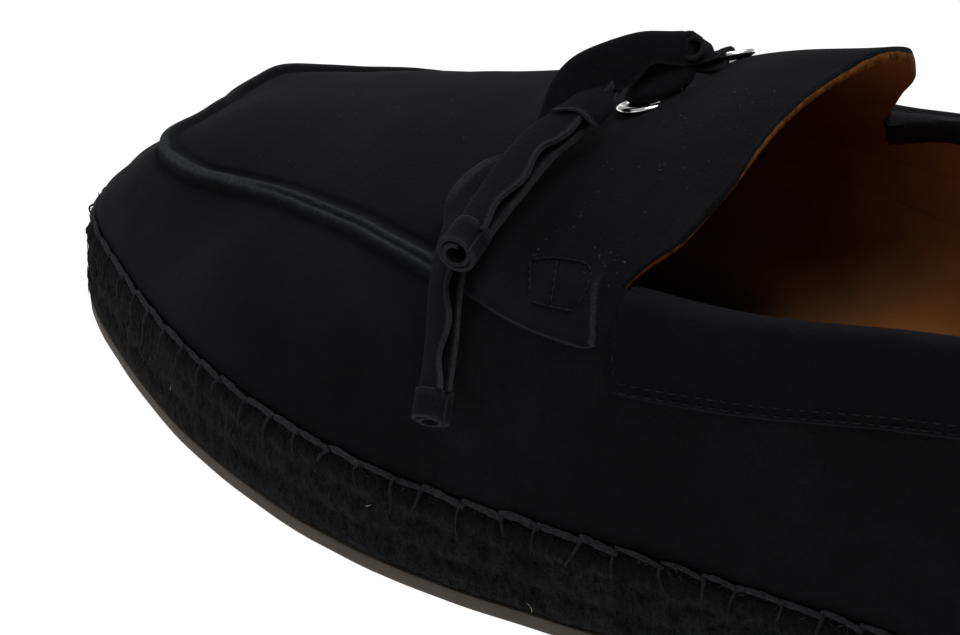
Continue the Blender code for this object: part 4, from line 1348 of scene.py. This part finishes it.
def make_fibres():
    """Loose fibres on the rope's side: mostly dark, a few pale."""
    count, pale = ROPE_HAIRS, PALE_HAIRS
    s = rng.uniform(0.0, RING_RUN[-1], count)
    height = rng.uniform(*ROPE_HAIR_HIGH, count)
    length = rng.uniform(0.9, 3.2, count)
    slope = rng.normal(0.0, 0.4, count) + 0.2
    share = np.linspace(-0.5, 0.5, 5)
    curl = rng.normal(0.0, 0.35, count)
    run = s[:, None] + (np.sin(slope) * length)[:, None] * share + curl[:, None] * (share ** 2) * 4.0
    up = np.clip(height[:, None] + (np.cos(slope) * length)[:, None] * share, 2.9, 16.5)
    arch = rng.uniform(0.0, 0.3, count)[:, None] * (1.0 - 4.0 * share ** 2)
    paths = rim(run, 0.3 + 0.6 * arch + rng.uniform(-0.15, 0.15, count)[:, None], up)
    slots = np.zeros(count, int)
    slots[:pale] = 1
    thick = rng.uniform(0.04, 0.10, count)[:, None] * (1.0 - HAIR_TAPER * share[None] ** 2)
    thick[:pale] *= 0.7
    hairs = strands("rope_fibres", paths, rim_out(run), thick, 4, [FIBRE, PALE_FIBRE], slots)


def make_lint():
    """Specks of lint that the nap has caught on the outer side, most of them by the throat."""
    count = LINT_SPECKS
    by_throat = rng.uniform(size=count) < 0.75
    q = np.where(by_throat, rng.uniform(106.0, 123.0, count), rng.uniform(30.0, 100.0, count))
    v = rng.uniform(0.12, 0.8, count)
    share = np.linspace(-0.5, 0.5, 4)
    paths, outs = [], []
    for k in range(count):
        point, out = apron_frame(-1, np.array(q[k]), np.array(v[k]))
        way = rng.normal(size=3)
        way = unit(way - out * (way @ out))
        bend = unit(np.cross(way, out))
        size = rng.uniform(0.15, 0.5)
        curl = bend * (share ** 2 * size * rng.normal())[:, None]
        line = point + out * 0.24 + way * (share * size)[:, None] + curl
        paths.append(line)
        outs.append(np.broadcast_to(out, line.shape))
    thick = rng.uniform(0.03, 0.065, count)[:, None] * np.array([0.5, 1.0, 1.0, 0.5])
    lint = strands("lint", np.array(paths), np.array(outs), thick, 4, [LINT])


# The lining's turn at the insole: where it starts, its heights and reach, and its painted shade
SOCK_FRONT = 80.0
SOCK_HIGH = 38.0
SOCK_LOW = 20.7
SOCK_REACH = 20.0
SOCK_DARK = (110.0, 134.0)
SOCK_SHADE = 0.42


def make_sock():
    """Lining's turn from the wall down on to the insole, with painted shade on its lower part and towards the
    toe.
    """
    q = SOCK_FRONT + (HEEL - SOCK_FRONT) * np.sin(np.linspace(0.0, math.pi / 2.0, 90))
    angle = np.linspace(0.0, math.pi / 2.0, 14)
    inset = WALL + 0.15 + SOCK_REACH * (1.0 - np.cos(angle))
    points, faces = [], []
    down = angle / angle[-1]
    # Painted shade: darker low on the turn and towards the toe, given to the leather as its raw value
    shade = (1.0 - ease(*SOCK_DARK, q))[:, None] * ease(0.3, 1.0, np.sin(angle) * down)[None]
    shade = np.maximum(shade, SOCK_SHADE * ease(0.05, 0.5, down)[None])
    for side in (-1, 1):
        foot, seam = lines(side, q)[:2]
        wall = wall_point(side, q, (SOCK_HIGH - foot[:, 2]) / (seam[:, 2] - foot[:, 2]))
        along = np.gradient(wall[:, :2], axis=0)
        way = unit(np.stack([along[:, 1], -along[:, 0]], axis=-1)) * side
        way[-1] = (-1.0, 0.0)
        plan = wall[:, None, :2] + way[:, None] * inset[None, :, None]
        low = SOCK_LOW + spring(q)[:, None]
        height = SOCK_HIGH - (SOCK_HIGH - low) * np.sin(angle)[None]
        grid = len(points) * len(q) * len(angle) + np.arange(len(q) * len(angle)).reshape(len(q), -1)
        points.append(np.concatenate([plan, height[..., None]], axis=-1).reshape(-1, 3))
        quad = grid_faces(grid)
        faces += (quad[:, ::-1] if side < 0 else quad).tolist()
    sock = piece("lining_turn", np.concatenate(points), faces, [LINING], raw=np.tile(shade.ravel(), 2))


# The scene, in the order of its random draws
make_camera()
make_end(1, END_1, through_eyelet(-1), 12.0, HOOD)
make_end(2, END_2, through_eyelet(1), 36.0)
make_bar()
make_sock()
make_stage()
make_eyelet("eyelet_ring_outer", -1)
make_eyelet("eyelet_ring_inner", 1)
make_upper()
make_band()
make_sewing()
make_sole()
make_welt()
make_welt_fuzz()
make_fibres()
make_lint()

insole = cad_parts["insole"]
for insole_slot in insole.material_slots:
    insole_slot.material = INSOLE
